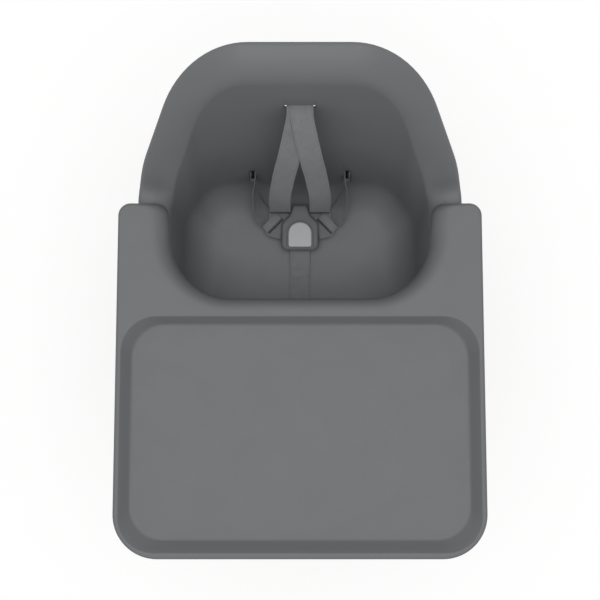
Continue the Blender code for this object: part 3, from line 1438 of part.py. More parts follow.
def wooden_leg(name, top, foot, look):
    """A turned leg: a straight tenon, a shoulder under the socket and a long taper."""
    length = leg_length(top, foot)
    shoulder = SOCKET_DEPTH + GAP
    full = LEG_TOP_RADIUS + LEG_BEAD
    taper = SOCKET_DEPTH + LEG_BEAD * 2
    profile = [
        (LEG_TOP_RADIUS - LEG_TOP_CHAMFER, 0),
        (LEG_TOP_RADIUS, LEG_TOP_CHAMFER),
        (LEG_TOP_RADIUS, shoulder),
        (full - LEG_BEAD / 2, shoulder),
        (full, shoulder + LEG_BEAD / 2),
    ]
    profile += [(leg_radius(top, foot, along), along) for along in (taper, length)]
    leg = add_object(f"leg_{name}", turned(profile, ROUND_SIDES), look, frame=leg_frame(top, foot))
    reach = LEG_TOP_RADIUS + SOCKET_WALL
    hole = rod(BOLT_RADIUS + GAP, -reach, reach, SMALL_SIDES)
    cut(leg, add_object(f"leg_hole_{name}", hole, frame=cross_frame(top, foot)))
    return leg


def leg_bolt(name, top, foot, look):
    """A cross bolt with its head on one flat of the socket and a cap nut on the other."""
    frame = cross_frame(top, foot)
    flat = LEG_TOP_RADIUS + GAP + SOCKET_WALL + BOLT_FLAT_PROUD + GAP
    tip = flat + NUT_LENGTH * BOLT_TIP_SHARE
    profile = [
        (BOLT_HEAD_RADIUS * SCREW_CROWN_SHARE, -flat - BOLT_HEAD),
        (BOLT_HEAD_RADIUS, -flat),
        (BOLT_RADIUS, -flat),
        (BOLT_RADIUS, tip),
    ]
    add_object(f"leg_bolt_{name}", turned(profile, SMALL_SIDES), look, frame=frame)
    nut = [
        (BOLT_HEAD_RADIUS, flat),
        (BOLT_HEAD_RADIUS, flat + NUT_LENGTH * NUT_SIDE_SHARE),
        (BOLT_HEAD_RADIUS * NUT_CROWN_SHARE, flat + NUT_LENGTH),
    ]
    body = add_object(f"leg_nut_{name}", turned(nut, SMALL_SIDES), look, frame=frame)
    hollow = rod(BOLT_RADIUS + GAP, flat - OVERRUN, tip + GAP, SMALL_SIDES)
    cut(body, add_object(f"nut_bore_{name}", hollow, frame=frame))


def foot_cap(name, top, foot, look):
    """A rubber cap on the leg's end, cut flat where it stands on the floor."""
    frame = leg_frame(top, foot)
    end = leg_length(top, foot)
    start = end - CAP_HEIGHT
    outside = leg_radius(top, foot, start) + GAP + CAP_WALL
    low = (foot - top).length + outside
    cap = add_object(f"foot_cap_{name}", rod(outside, start, low), look, frame=frame)
    wide = leg_radius(top, foot, start - OVERRUN) + GAP
    narrow = LEG_FOOT_RADIUS + GAP
    bore = turned([(wide, start - OVERRUN), (narrow, end + GAP)], ROUND_SIDES)
    cut(cap, add_object(f"cap_bore_{name}", bore, frame=frame))
    reach = outside * 4
    below = box((foot.x - reach, foot.y - reach, -reach), (foot.x + reach, foot.y + reach, 0))
    cut(cap, add_object(f"cap_floor_{name}", below))


# Footrest
def clamp_arm_top():
    return FOOTREST_TOP - FOOTREST_THICKNESS - GAP


def clamp_centre(top, foot):
    """Where a front leg's middle line passes through its clamp's arm."""
    height = clamp_arm_top() - CLAMP_ARM_THICKNESS / 2
    return top.lerp(foot, (top.z - height) / (top.z - foot.z))


def footrest(wood, plastic, steel):
    top = FOOTREST_TOP
    bottom = FOOTREST_TOP - FOOTREST_THICKNESS
    fronts = [line for line in leg_lines() if line[0].startswith("front")]
    right = clamp_centre(*fronts[-1][1:])
    rear = right.y + FOOTREST_REAR_REACH
    size = (right.x - FOOTREST_SIDE_ROOM, rear - FOOTREST_DEPTH, rear, FOOTREST_CORNER_RADIUS)
    e = FOOTREST_EDGE
    small = (size[0] - e, size[1] + e, size[2] - e, size[3] - e)
    loops = [
        flat_loop(rounded_rectangle(*small), bottom),
        flat_loop(rounded_rectangle(*size), bottom + e),
        flat_loop(rounded_rectangle(*size), top - e),
        flat_loop(rounded_rectangle(*small), top),
    ]
    board = add_object("footrest_board", loft(loops), wood)
    for side, sign, (_, a, b) in zip(("left", "right"), (-1, 1), fronts):
        clamp = footrest_clamp(side, sign, a, b, plastic, steel)
        clamp_screws(side, sign, clamp_centre(a, b), clamp, board, steel)


def footrest_clamp(side, sign, a, b, plastic, steel):
    """A ring round a front leg with an arm under the board."""
    arm_top = clamp_arm_top()
    arm_bottom = arm_top - CLAMP_ARM_THICKNESS
    frame = leg_frame(a, b)
    down = (b - a).normalized()
    centre = clamp_centre(a, b)
    along = (centre - a).length
    radius = leg_radius(a, b, along)
    low = along - CLAMP_HEIGHT / 2
    high = along + CLAMP_HEIGHT / 2
    ring = rod(radius + CLAMP_WALL, low, high)
    clamp = add_object(f"footrest_clamp_{side}", ring, plastic, frame=frame)
    x0, x1 = sorted((centre.x - sign * CLAMP_ARM_LENGTH, centre.x))
    rear = centre.y + CLAMP_ARM_REAR_REACH
    arm = box((x0, rear - CLAMP_ARM_DEPTH, arm_bottom), (x1, rear, arm_top))
    join(clamp, add_object(f"clamp_arm_{side}", arm))
    wide = leg_radius(a, b, low - OVERRUN) + GAP
    narrow = leg_radius(a, b, high + OVERRUN) + GAP
    bore = turned([(wide, low - OVERRUN), (narrow, high + OVERRUN)], ROUND_SIDES)
    cut(clamp, add_object(f"clamp_bore_{side}", bore, frame=frame))
    reach = CLAMP_ARM_LENGTH * 2
    low = (centre.x - reach, centre.y - reach, arm_top)
    above = box(low, (centre.x + reach, centre.y + reach, arm_top + CLAMP_HEIGHT))
    cut(clamp, add_object(f"clamp_top_cut_{side}", above))
    set_screw(side, sign, clamp, centre, down, radius, steel)
    return clamp


def clamp_screws(side, sign, centre, clamp, board, look):
    """Two screws up through a clamp's arm into the board."""
    bottom = FOOTREST_TOP - FOOTREST_THICKNESS
    arm_bottom = bottom - GAP - CLAMP_ARM_THICKNESS
    y = centre.y + CLAMP_ARM_REAR_REACH - CLAMP_ARM_DEPTH / 2
    inner = centre.x - sign * (CLAMP_ARM_LENGTH - CLAMP_SCREW_HEAD_RADIUS * 2)
    for i, end in enumerate(("inner", "outer")):
        x = inner + sign * i * CLAMP_SCREW_X_SPAN
        hole = rod(CLAMP_SCREW_RADIUS + GAP, arm_bottom - OVERRUN, bottom + CLAMP_SCREW_BITE, SMALL_SIDES)
        tool = add_object(f"clamp_hole_{side}_{end}", hole, frame=Matrix.Translation((x, y, 0)))
        cut(clamp, tool)
        cut(board, tool)
        shank = CLAMP_ARM_THICKNESS + CLAMP_SCREW_BITE
        sizes = (CLAMP_SCREW_RADIUS, CLAMP_SCREW_HEAD_RADIUS, CLAMP_SCREW_HEAD, shank)
        screw(f"footrest_screw_{end}_{side}", (x, y, arm_bottom - GAP), (0, 0, 1), *sizes, look)


def set_screw(side, sign, clamp, centre, down, radius, look):
    """A set screw through the clamp's outer wall to the leg."""
    outwards = Vector((sign, 0, 0))
    outwards = (outwards - down * outwards.dot(down)).normalized()
    frame = axis_frame(centre + down * CLAMP_HEIGHT / 4, outwards, down)
    bore = rod(SET_SCREW_RADIUS + GAP, 0, radius + CLAMP_WALL * 2, SMALL_SIDES)
    cut(clamp, add_object(f"set_screw_hole_{side}", bore, frame=frame))
    start = radius + GAP * 2
    pin = rod(SET_SCREW_RADIUS, start, radius + CLAMP_WALL + SET_SCREW_BITE, SMALL_SIDES)
    add_object(f"clamp_set_screw_{side}", pin, look, frame=frame)


def main():
    for obj in list(bpy.data.objects):
        bpy.data.objects.remove(obj, do_unlink=True)
    shell_look = material("moulded_shell", "757779", 0.62)
    tray_look = material("moulded_tray", "78797B", 0.60)
    webbing_look = material("webbing", "727476", 0.85)
    buckle_look = material("buckle_plastic", "6B6C6F", 0.45)
    button_look = material("button_plastic", "B4B5B7", 0.45)
    base_look = material("base_plastic", "3F4143", 0.60)
    wood_look = material("beech", "D2AD7C", 0.50)
    steel_look = material("steel", "B7B8BA", 0.30, 1.0)
    rubber_look = material("rubber", "2B2C2E", 0.80)

    seat_shell(shell_look)
    anchor_bars(steel_look)
    shoulder_straps(webbing_look)
    waist_straps(webbing_look)
    crotch_strap(webbing_look)
    buckle(buckle_look, button_look, steel_look)
    seat_base(base_look)
    base_screws(steel_look)

    carriage = bpy.data.objects.new("tray_carriage", None)
    bpy.context.scene.collection.objects.link(carriage)
    tray_top(tray_look, carriage)
    for side, sign in (("left", -1), ("right", 1)):
        wing_rail(side, sign, base_look, carriage)
        rail_screws(side, sign, steel_look, carriage)
        outer = latch(side, sign, base_look, carriage)
        latch_spring(side, sign, outer, steel_look, carriage)

    for name, top, foot in leg_lines():
        wooden_leg(name, top, foot, wood_look)
        leg_bolt(name, top, foot, steel_look)
        foot_cap(name, top, foot, rubber_look)
    footrest(wood_look, base_look, steel_look)


main()
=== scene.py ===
"""Dresses the high chair: moulded seat and tray, woven harness, buckle, beech legs and their hardware.

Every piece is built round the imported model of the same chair, in metres: +X right in the view from
above, -Y the way the child faces, and the floor at z = 0.
"""

import json
from functools import partial
from math import acos, atan2, cos, hypot, pi, radians, sin, sqrt, tan

import bmesh
import bpy
from bpy.props import FloatProperty, FloatVectorProperty, IntProperty, PointerProperty
from bpy.types import Operator, Panel, PropertyGroup
from mathutils import Matrix, Quaternion, Vector

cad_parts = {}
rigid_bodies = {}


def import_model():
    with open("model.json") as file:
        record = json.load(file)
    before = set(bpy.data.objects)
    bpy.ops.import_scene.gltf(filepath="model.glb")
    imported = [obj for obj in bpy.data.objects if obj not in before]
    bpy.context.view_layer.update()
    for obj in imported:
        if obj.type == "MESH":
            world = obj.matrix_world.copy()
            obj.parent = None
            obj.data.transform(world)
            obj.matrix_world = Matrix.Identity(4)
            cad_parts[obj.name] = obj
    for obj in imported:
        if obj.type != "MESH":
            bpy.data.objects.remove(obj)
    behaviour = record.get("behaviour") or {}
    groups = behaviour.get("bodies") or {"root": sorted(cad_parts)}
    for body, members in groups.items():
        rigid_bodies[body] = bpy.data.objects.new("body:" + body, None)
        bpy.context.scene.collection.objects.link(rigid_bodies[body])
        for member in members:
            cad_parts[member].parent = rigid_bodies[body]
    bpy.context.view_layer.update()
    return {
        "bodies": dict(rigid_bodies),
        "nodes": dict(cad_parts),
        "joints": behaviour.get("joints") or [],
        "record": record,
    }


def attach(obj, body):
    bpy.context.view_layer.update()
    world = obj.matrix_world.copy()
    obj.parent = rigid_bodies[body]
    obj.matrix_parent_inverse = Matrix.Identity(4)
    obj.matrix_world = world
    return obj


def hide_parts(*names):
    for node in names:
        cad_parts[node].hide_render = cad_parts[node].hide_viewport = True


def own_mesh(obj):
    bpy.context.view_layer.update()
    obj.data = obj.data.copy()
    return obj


bl_info = {
    "name": "High chair", "version": (1, 0, 0), "blender": (4, 5, 0),
    "location": "3D View > Sidebar > High chair",
    "description": "Models a high chair with a moulded seat, tray, harness and wooden legs",
    "category": "Add Mesh",
}

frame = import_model()
SIDES = (("left", -1), ("right", 1))
CORNERS = ("front_left", "front_right", "rear_left", "rear_right")
MM = 0.001
GAP = 0.3 * MM
ACROSS = Vector((1, 0, 0))
# Radius of the holes that screws pass through
SCREW_ROOM = 2.3 * MM
# Radius of the springs' wire
WIRE = 0.35 * MM


# Properties
def lengths(table):
    """Distances, from rows of a field, its default in millimetres and its description."""
    found = {}
    for field, size, text in (row.split(None, 2) for row in table.strip().splitlines()):
        name = field.replace("_", " ").capitalize()
        default = float(size) / 1000
        found[field] = FloatProperty(
            name=name, description=text, default=default, unit="LENGTH", subtype="DISTANCE"
        )
    return found


def place_of(name, description, default):
    """A place in plan, across and along."""
    return FloatVectorProperty(
        name=name, description=description, default=default, size=2, unit="LENGTH", subtype="XYZ"
    )


def colour(name, description, default):
    """A colour, given as sRGB hex and held as linear values."""
    return FloatVectorProperty(
        name=name, description=description, default=linear(default), subtype="COLOR", min=0, max=1
    )


def linear(hex_colour):
    """sRGB hex to linear red, green and blue."""
    parts = [int(hex_colour[i : i + 2], 16) / 255 for i in (0, 2, 4)]
    return [c / 12.92 if c <= 0.04045 else ((c + 0.055) / 1.055) ** 2.4 for c in parts]


class SeatSizes(PropertyGroup):
    """Sizes of the moulded seat shell."""

    __annotations__ = lengths(
        """
depth 558 From the tray's front to the back's rim
top 945 Height of the back's rim over the floor
pan 540 Height of the pan over the floor
arm 712 Height of the armrests over the floor
wall 4 Thickness of the moulded wall
half_width 186 From the middle to the rim's outer edge
top_half_width 116.8 Where the shoulders meet the back's top rim
shoulder_y 154 Where the sides start to turn in
front_y -82 Front edge of the seat
lip 36 Width of the rolled lip
front_lip 30 Width of the lip at the seat's front
side_lean 11 How far the sides lean in to the pan
shoulder_lean 30 How far the shoulders lean in to the pan
back_lean 90 How far the back leans in to the pan
front_lean 32 How far the pan's front slopes
front_corner 70 Rounding of the rim's front corners in plan
shoulder_corner 114 Rounding of the rim's shoulders in plan
top_corner 108 Rounding of the rim's top corners in plan
pan_front 30 Rounding of the pan's front corners
pan_rear 50 Rounding of the pan's rear corners
fillet 45 Radius between the pan and the walls
arm_roll 28 Radius of the armrest's inner edge
back_roll 37 Radius of the back rim's inner edge
lip_edge 5 Radius of the lip's outer edge
waterfall 20 Radius of the seat's front edge
lip_drop 16 How far the lip turns down
waterfall_drop 26 How far the front edge turns down
arm_rear_y 139 Where the armrest starts to rise to the back
boss_x 80 Screw bosses under the pan, across
boss_front_y -6 Place of the front bosses
boss_rear_y 90 Place of the rear bosses
boss_radius 7 Radius of the bosses under the pan
boss_height 8 How far the bosses stand under the pan
    """
    )


class HarnessSizes(PropertyGroup):
    """Sizes of the webbing, its bars and its slots."""

    __annotations__ = lengths(
        """
width 25 Width of every strap
thickness 1.2 Thickness of every strap
bar 2 Radius of the bars behind the slots
bar_end 4 Radius of the bars' end discs
bar_end_length 3 Length of the bars' end discs
shoulder_slot 850 Height of the slot in the back
waist_slot 596 Height of the middle of the waist slots
waist_slot_x 57 From the middle to a waist slot
waist_slot_length 44 Length of a waist slot
crotch_slot_y -15 Place of the slot in the pan
side_clearance 2.5 Room beside a strap in its slot
ease 1 Extra height of the slots
spread 2 How far each shoulder strap lies off the middle
tail 14 Sewn end of a strap past its bar
bend 3.6 Bend of the crotch strap over the slot's edge
fold 38.5 Length of the crotch strap's folded end
    """
    )


class BuckleSizes(PropertyGroup):
    """Sizes of the buckle's housing, button and tongues."""

    __annotations__ = lengths(
        """
front_y 77 Front of the housing
shoulder_y 110 Where the housing's shoulders start
head_y 121 Where the housing's neck starts
neck_y 133 Rear end of the housing's neck
half_width 23 Half width of the housing
head_half 12.5 Half width where the neck starts
neck_half 8.8 Half width of the neck's end
height 17.2 Height of the housing
skin 2 Thickness of the housing's top
edge 3 Rounding of the housing's edges
back 2.5 Thickness of the plate under the housing
bar_y 80.5 Bar that the crotch strap goes round
bar_half 1.25 Half width of that bar
button_front 81 Front of the button
button_rear 111.5 Rear of the button's arch
button_half 14.4 Half width of the button
button_proud 2.7 How far the button stands out
flange 1.4 How far the button's flange stands out
flange_thickness 1 Thickness of the button's flange
tongue 2 Thickness of the tongues
tongue_height 7.9 Height of the tongues in the housing
tongue_inner 5 From the middle to a tongue's blade
tongue_bar 1.1 Half width of a tongue's bars
shoulder_bar_y 127 Place of a tongue's shoulder bar
shoulder_x 24 Middle of a tongue's shoulder eye
blade_y 105 Middle of a tongue's blade
eye 4.3 Opening of a tongue's eyes
rim 1.7 Material beside a tongue's eyes
travel 3.2 How far the button is pressed
    """
    )
    waist_eye: place_of("Waist eye", "Middle of the bar that a waist strap goes round", (0.0330, 0.1095))


class TraySizes(PropertyGroup):
    """Sizes of the tray, its dish, runners and latches."""

    __annotations__ = lengths(
        """
top 735 Height of the tray's rim over the floor
wall 3 Thickness of the tray's wall
front_half 214.2 From the middle to the tray's side
rear_half 206.3 From the middle to the wing's side
wing_y 125.6 Rear end of the wings
wing_inner 151.5 From the middle to the wing's inner edge
cutout_half 143 Half width of the cut-out for the child
cutout_y 17.3 Front edge of the cut-out
cutout_corner 70 Rounding of the cut-out's corners
corner 50.5 Rounding of the tray's front corners
wing_corner 14 Rounding of the wings' ends
edge_roll 3.4 Rounding of the tray's outer edge
wing_roll 23 Rounding of the wings' inner edge
cutout_roll 14 Rounding of the cut-out's front edge
skirt 26 Depth of the skirt
wing_clearance 1.5 Room between the wing's end and the armrest
dish_rear -2.7 Rear edge of the dish
front_margin 7.3 Rim in front of the dish
side_margin 5.8 Rim beside the dish
dish_depth 14.5 Depth of the dish
rear_slope 9.5 Run of the dish's rear slope
side_slope 12 Run of the dish's side slopes
front_slope 13 Run of the dish's front slope
dish_rear_corner 34 Rounding of the dish's rear corners
dish_front_corner 38 Rounding of the dish's front corners
top_fillet 1.5 Rounding of the dish's upper edge
foot_fillet 6 Rounding at the foot of the dish's slopes
rib 2 Thickness of the ribs under the dish
rib_depth 9 Depth of the ribs under the dish
boss_radius 4.5 Radius of the runners' screw bosses
rail_inner 170.5 From the middle to a runner
rail_front 40 Front end of the runners
rail_length 65 Length of the runners
rail_height 11.4 Height of the runners
rail_web 3.5 Thickness of the runner's outer web
rail_drop 14.5 How far the web hangs beside the lip
latch 3 Thickness of the latch plate
latch_length 30 Length of the latch plate
latch_travel 6.5 How far a latch is pulled
    """
    )


class LegSizes(PropertyGroup):
    """Sizes of the seat base, the legs, their caps and the footrest."""

    __annotations__ = lengths(
        """
base_half 122 Half width of the seat base
base_front -72 Front of the seat base
base_rear 154 Rear of the seat base
base_corner 34 Rounding of the base's corners
base_height 22 Height of the base's walls
base_plate 4 Thickness of the base's walls
top_radius 17 Radius of a leg's tenon
foot_radius 11 Radius at a leg's lower end
bead 2.5 How far the shoulder stands out of the tenon
socket_wall 5.5 Thickness of the sockets' walls
socket_depth 55 Depth of the sockets
socket_roof 12 Material over the leg's top
bolt_depth 30 From the leg's top to its cross bolt
bolt 3 Radius of the cross bolts
bolt_head 5.5 Radius of the bolts' heads
cap_wall 2.5 Thickness of the foot caps' walls
cap_height 24 Height of the foot caps over the leg's end
cap_floor 8 Rubber under the leg's end
rest_top 265 Height of the footrest's top
rest_thickness 15 Thickness of the footrest's board
rest_edge 3 Rounding of the board's edges
rest_depth 112 From the board's front to its rear
rest_rear_reach 15 How far the board reaches behind the clamps' middle
rest_side_room 26 From the board's end to the clamp's middle
rest_corner 22 Rounding of the board's corners in plan
arm_length 72 Length of the clamps' arms
arm_rear_reach 13 How far the arms reach behind the clamps' middle
arm_depth 40 Width of the clamps' arms
window_half 60 Half width of the base's window
window_front -40 Front edge of the base's window
window_rear 90 Rear edge of the base's window
window_corner 12 Rounding of the window's corners
guard_half 11 Half width of the tabs under the waist slots
guard_reach 34 How far those tabs reach behind the base
clamp_wall 5 Wall of the clamps round the legs
clamp_height 24 Height of the clamps
    """
    )
    front_top: place_of("Front leg's top", "Across and along, in the seat base", (0.098, -0.044))
    front_foot: place_of("Front foot", "Across and along, on the floor", (0.225, -0.200))
    rear_top: place_of("Rear leg's top", "Across and along, in the seat base", (0.0905, 0.1265))
    rear_foot: place_of("Rear foot", "Across and along, on the floor", (0.200, 0.256))


class FinishColours(PropertyGroup):
    """Colours of the finishes."""

    shell: colour("Seat shell", "Moulded polypropylene of the seat", "727476")
    tray: colour("Tray", "Moulded ABS of the tray", "6C6E70")
    webbing: colour("Webbing", "Woven polyester of the straps", "828486")
    buckle: colour("Buckle", "Acetal of the buckle's housing", "656668")
    button: colour("Button", "Acetal of the release button", "BFC0C2")
    base: colour("Base", "Glass-filled nylon under the seat", "3A3C3E")
    beech: colour("Beech", "Lacquered beech of the legs", "CFA878")
    steel: colour("Steel", "Zinc-plated steel of the hardware", "B4B5B7")
    dark_steel: colour("Dark steel", "Blackened steel of the bars behind the slots", "2E2F31")
    rubber: colour("Rubber", "Rubber of the foot caps", "2A2B2D")
    thread: colour("Thread", "Sewing thread of the straps", "585A5C")


class StageSizes(PropertyGroup):
    """The camera, the floor and the light."""

    __annotations__ = lengths(
        """
camera_height 2766 Height of the camera over the floor
camera_y 15.7 How far the camera stands behind the middle
floor 8000 Half the side of the floor
    """
    )
    lens: FloatProperty(name="Lens", description="Focal length", default=107.4, unit="CAMERA")
    sky: FloatProperty(name="Sky", description="Strength of the soft light all round", default=0.45)
    ceiling: FloatProperty(name="Ceiling light", description="Strength of the light from above", default=1.25)
    ceiling_spread: FloatProperty(name="Spread", description="Its width", default=0.66, unit="ROTATION")
    glow: FloatProperty(name="Floor glow", description="Light that keeps the floor white", default=0.63)


def sizes():
    """The scene's groups of sizes."""
    return bpy.context.scene.high_chair


class HighChair(PropertyGroup):
    """All the sizes and colours of the chair."""

    seat: PointerProperty(type=SeatSizes)
    harness: PointerProperty(type=HarnessSizes)
    buckle: PointerProperty(type=BuckleSizes)
    tray: PointerProperty(type=TraySizes)
    legs: PointerProperty(type=LegSizes)
    colours: PointerProperty(type=FinishColours)
    stage: PointerProperty(type=StageSizes)
    smoothness: IntProperty(name="Smoothness", description="Steps to a rounding", default=3, min=1, max=5)


# Blender's own tools, driven from code
def pick(obj):
    """Makes obj the only selected object and the active one."""
    bpy.ops.object.select_all(action="DESELECT")
    obj.select_set(True)
    bpy.context.view_layer.objects.active = obj


def named(name):
    """The object that was just added, under its own name."""
    obj = bpy.context.active_object
    obj.name = name
    obj.data.name = name
    return obj


def edit(obj, mode="VERT"):
    """Goes into edit mode on obj with nothing selected."""
    pick(obj)
    bpy.ops.object.mode_set(mode="EDIT")
    bpy.context.tool_settings.mesh_select_mode = (mode == "VERT", mode == "EDGE", mode == "FACE")
    bpy.ops.mesh.select_all(action="DESELECT")


def done():
    bpy.ops.object.mode_set(mode="OBJECT")


def choose(obj, kind, test):
    """Selects the vertices, edges or faces that pass a test, in edit mode."""
    bm = bmesh.from_edit_mesh(obj.data)
    for part in getattr(bm, kind):
        part.select_set(False)
    for part in getattr(bm, kind):
        if test(part):
            part.select_set(True)
    bm.select_flush_mode()
    bmesh.update_edit_mesh(obj.data)


def outwards(obj):
    """Merges doubles and turns the faces outwards."""
    edit(obj)
    bpy.ops.mesh.select_all(action="SELECT")
    bpy.ops.mesh.remove_doubles(threshold=MM / 1000)
    bpy.ops.mesh.normals_make_consistent(inside=False)
    done()


def modify(obj, kind, **values):
    """Adds a modifier and applies it."""
    pick(obj)
    step = obj.modifiers.new(kind.lower(), kind)
    for key, value in values.items():
        setattr(step, key, value)
    bpy.ops.object.modifier_apply(modifier=step.name)


def heal(obj):
    """Merges points that a cut leaves on top of each other, so that the next one meets a closed surface."""
    edit(obj)
    bpy.ops.mesh.select_all(action="SELECT")
    bpy.ops.mesh.dissolve_degenerate(threshold=MM / 200)
    bpy.ops.mesh.remove_doubles(threshold=MM / 200)
    done()


def shape_with(obj, tools, operation):
    """Cuts tools out of obj, or joins them on, and deletes them."""
    for tool in tools:
        modify(obj, "BOOLEAN", operation=operation, solver="EXACT", object=tool)
        bpy.data.objects.remove(tool, do_unlink=True)
        heal(obj)


def cut(obj, *tools):
    shape_with(obj, tools, "DIFFERENCE")


def fuse(obj, *tools):
    shape_with(obj, tools, "UNION")


def soften(obj, width, segments=2, angle=40):
    """Rounds the edges that are sharper than an angle."""
    modify(
        obj, "BEVEL", width=width, segments=segments, limit_method="ANGLE", angle_limit=radians(angle),
        use_clamp_overlap=True, miter_outer="MITER_ARC",
    )


def finish(obj, look, body, node, angle):
    """Gives a piece its finish and its body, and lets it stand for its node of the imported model."""
    pick(obj)
    bpy.ops.object.shade_smooth_by_angle(angle=radians(angle))
    obj.data.materials.clear()
    obj.data.materials.append(look_of(look))
    obj.name = f"dressed_{node}"
    obj.data.name = obj.name
    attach(obj, body)
    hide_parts(node)
    return obj


def place(obj, frame):
    """Moves the mesh into a frame; the object stays at the origin."""
    bpy.context.view_layer.update()
    obj.matrix_world = frame @ obj.matrix_world
    pick(obj)
    bpy.ops.object.transform_apply(location=True, rotation=True, scale=True)
    return obj


def copy_of(obj, name, frame):
    pick(obj)
    bpy.ops.object.duplicate(linked=False)
    return place(named(name), frame)


def block(name, low, high):
    middle = [(a + b) / 2 for a, b in zip(low, high)]
    bpy.ops.mesh.primitive_cube_add(size=1, location=middle)
    obj = named(name)
    obj.scale = [b - a for a, b in zip(low, high)]
    return place(obj, Matrix())


def rounded_block(name, low, high, radius, steps=5):
    """A block whose upright edges are rounded in edit mode."""
    obj = block(name, low, high)
    edit(obj, "EDGE")
    choose(obj, "edges", lambda e: abs(e.verts[0].co.z - e.verts[1].co.z) > MM / 100)
    bpy.ops.mesh.bevel(offset=radius, segments=steps, affect="EDGES", clamp_overlap=True)
    done()
    return obj


def turned(name, profile, sides=40):
    """A solid turned about Z: a disc pulled up and resized from each (radius, height) to the next."""
    radius, height = profile[0]
    start = (0, 0, height)
    bpy.ops.mesh.primitive_circle_add(vertices=sides, radius=radius, fill_type="NGON", location=start)
    obj = place(named(name), Matrix())
    edit(obj, "FACE")
    bpy.ops.mesh.select_all(action="SELECT")
    for (before, low), (after, high) in zip(profile, profile[1:]):
        bpy.ops.mesh.extrude_region_move(TRANSFORM_OT_translate={"value": (0, 0, high - low)})
        if abs(after - before) > MM / 1000:
            share = after / before
            bpy.ops.transform.resize(value=(share, share, 1), center_override=(0, 0, high))
    done()
    outwards(obj)
    return obj


def quarter(spans):
    """Sine and cosine at each step of a quarter turn."""
    turns = [pi / 2 * i / spans for i in range(spans + 1)]
    return [(sin(turn), cos(turn)) for turn in turns]


def arc_profile(radius, height, edge, up, steps=4):
    """Profile points that round a turned piece's edge: up is 1 at its top end and -1 at its bottom."""
    points = [(radius - edge * (1 - c), height - up * edge * (1 - s)) for s, c in quarter(steps)]
    return points if up > 0 else points[::-1]


def shift(x, y, z=0):
    return Matrix.Translation((x, y, z))


def axis_frame(origin, direction, side):
    """A frame at origin with Z along direction and X close to side."""
    z = Vector(direction).normalized()
    y = z.cross(Vector(side)).normalized()
    x = y.cross(z)
    return Matrix.Translation(origin) @ Matrix((x, y, z)).transposed().to_4x4()


# Outlines and curves
def blend(low, high, share):
    return low + (high - low) * share


def smooth_step(share):
    share = min(max(share, 0.0), 1.0)
    return share * share * (3 - 2 * share)


def setbacks(path, radii):
    """How far from each corner its rounding starts, kept clear of the next corner's."""
    legs = [(b - a).length for a, b in zip(path, path[1:])]
    back = [0.0] * len(path)
    for i in range(1, len(path) - 1):
        turn = (path[i] - path[i - 1]).angle(path[i + 1] - path[i])
        back[i] = max(radii[i] * tan(turn / 2), 0.2 * min(legs[i - 1], legs[i]))
    fits = [min(1.0, 0.96 * leg / (back[i] + back[i + 1])) for i, leg in enumerate(legs)]
    return [0.0] + [back[i] * min(fits[i - 1], fits[i]) for i in range(1, len(path) - 1)] + [0.0]


def corner_arc(before, corner, after, setback, steps):
    """Points of the arc that rounds a corner, from one tangent point to the other."""
    start = corner + (before - corner).normalized() * setback
    end = corner + (after - corner).normalized() * setback
    weight = cos((corner - before).angle(after - corner) / 2)
    points = []
    for i in range(steps + 1):
        t = i / steps
        a = (1 - t) ** 2
        b = 2 * t * (1 - t) * weight
        c = t**2
        points.append((start * a + corner * b + end * c) / (a + b + c))
    return points


def rounded_path(path, radii, arc_steps, leg_steps):
    """A path through rounded corners, with the same count of points whatever its sizes."""
    path = [Vector(p) for p in path]
    back = setbacks(path, radii)
    points = [path[0]]
    for i in range(1, len(path)):
        if i < len(path) - 1:
            arc = corner_arc(path[i - 1], path[i], path[i + 1], back[i], arc_steps[i])
        else:
            arc = [path[i]]
        start = points[-1]
        for k in range(1, leg_steps[i - 1]):
            points.append(start.lerp(arc[0], k / leg_steps[i - 1]))
        points.extend(arc)
    return points


def inset(corners, distances):
    """Moves each leg of a half outline inwards; it runs anticlockwise from X = 0 back to it."""
    corners = [Vector(c) for c in corners]
    lines = []
    for a, b, distance in zip(corners, corners[1:], distances):
        along = (b - a).normalized()
        lines.append((a + Vector((-along.y, along.x)) * distance, along))
    moved = [Vector((0, lines[0][0].y))]
    for (p, d), (q, e) in zip(lines, lines[1:]):
        moved.append(p + d * ((q - p).cross(e) / d.cross(e)))
    last_point, last_along = lines[-1]
    moved.append(last_point - last_along * (last_point.x / last_along.x))
    return moved


def full_outline(corners, radii, arc_steps, leg_steps):
    """A whole outline, mirrored from its half that starts and ends at X = 0."""
    half = rounded_path(corners, radii, arc_steps, leg_steps)
    return half + [Vector((-p.x, *p[1:])) for p in reversed(half[1:-1])]


def smooth_curve(points, steps):
    """A Catmull-Rom curve through points, with steps spans between each two."""
    points = [Vector(p) for p in points]
    padded = [points[0] * 2 - points[1], *points, points[-1] * 2 - points[-2]]
    curve = [points[0]]
    for a, b, c, d in zip(padded, padded[1:], padded[2:], padded[3:]):
        for k in range(1, steps + 1):
            t = k / steps
            bend = (b * 2) + (c - a) * t + (a * 2 - b * 5 + c * 4 - d) * t**2
            curve.append((bend + (b * 3 - a - c * 3 + d) * t**3) / 2)
    return curve


def flat_loop(outline, z):
    return [Vector((p[0], p[1], z)) for p in outline]


def add_rings(bm, rings):
    """Bridges loops of equal counts inside a bmesh, and gives back their vertices."""
    verts = [[bm.verts.new(p) for p in ring] for ring in rings]
    for low, high in zip(verts, verts[1:]):
        for i in range(len(low)):
            j = (i + 1) % len(low)
            bm.faces.new((low[i], low[j], high[j], high[i]))
    return verts


def linked(name, data):
    obj = bpy.data.objects.new(name, data)
    bpy.context.scene.collection.objects.link(obj)
    return obj


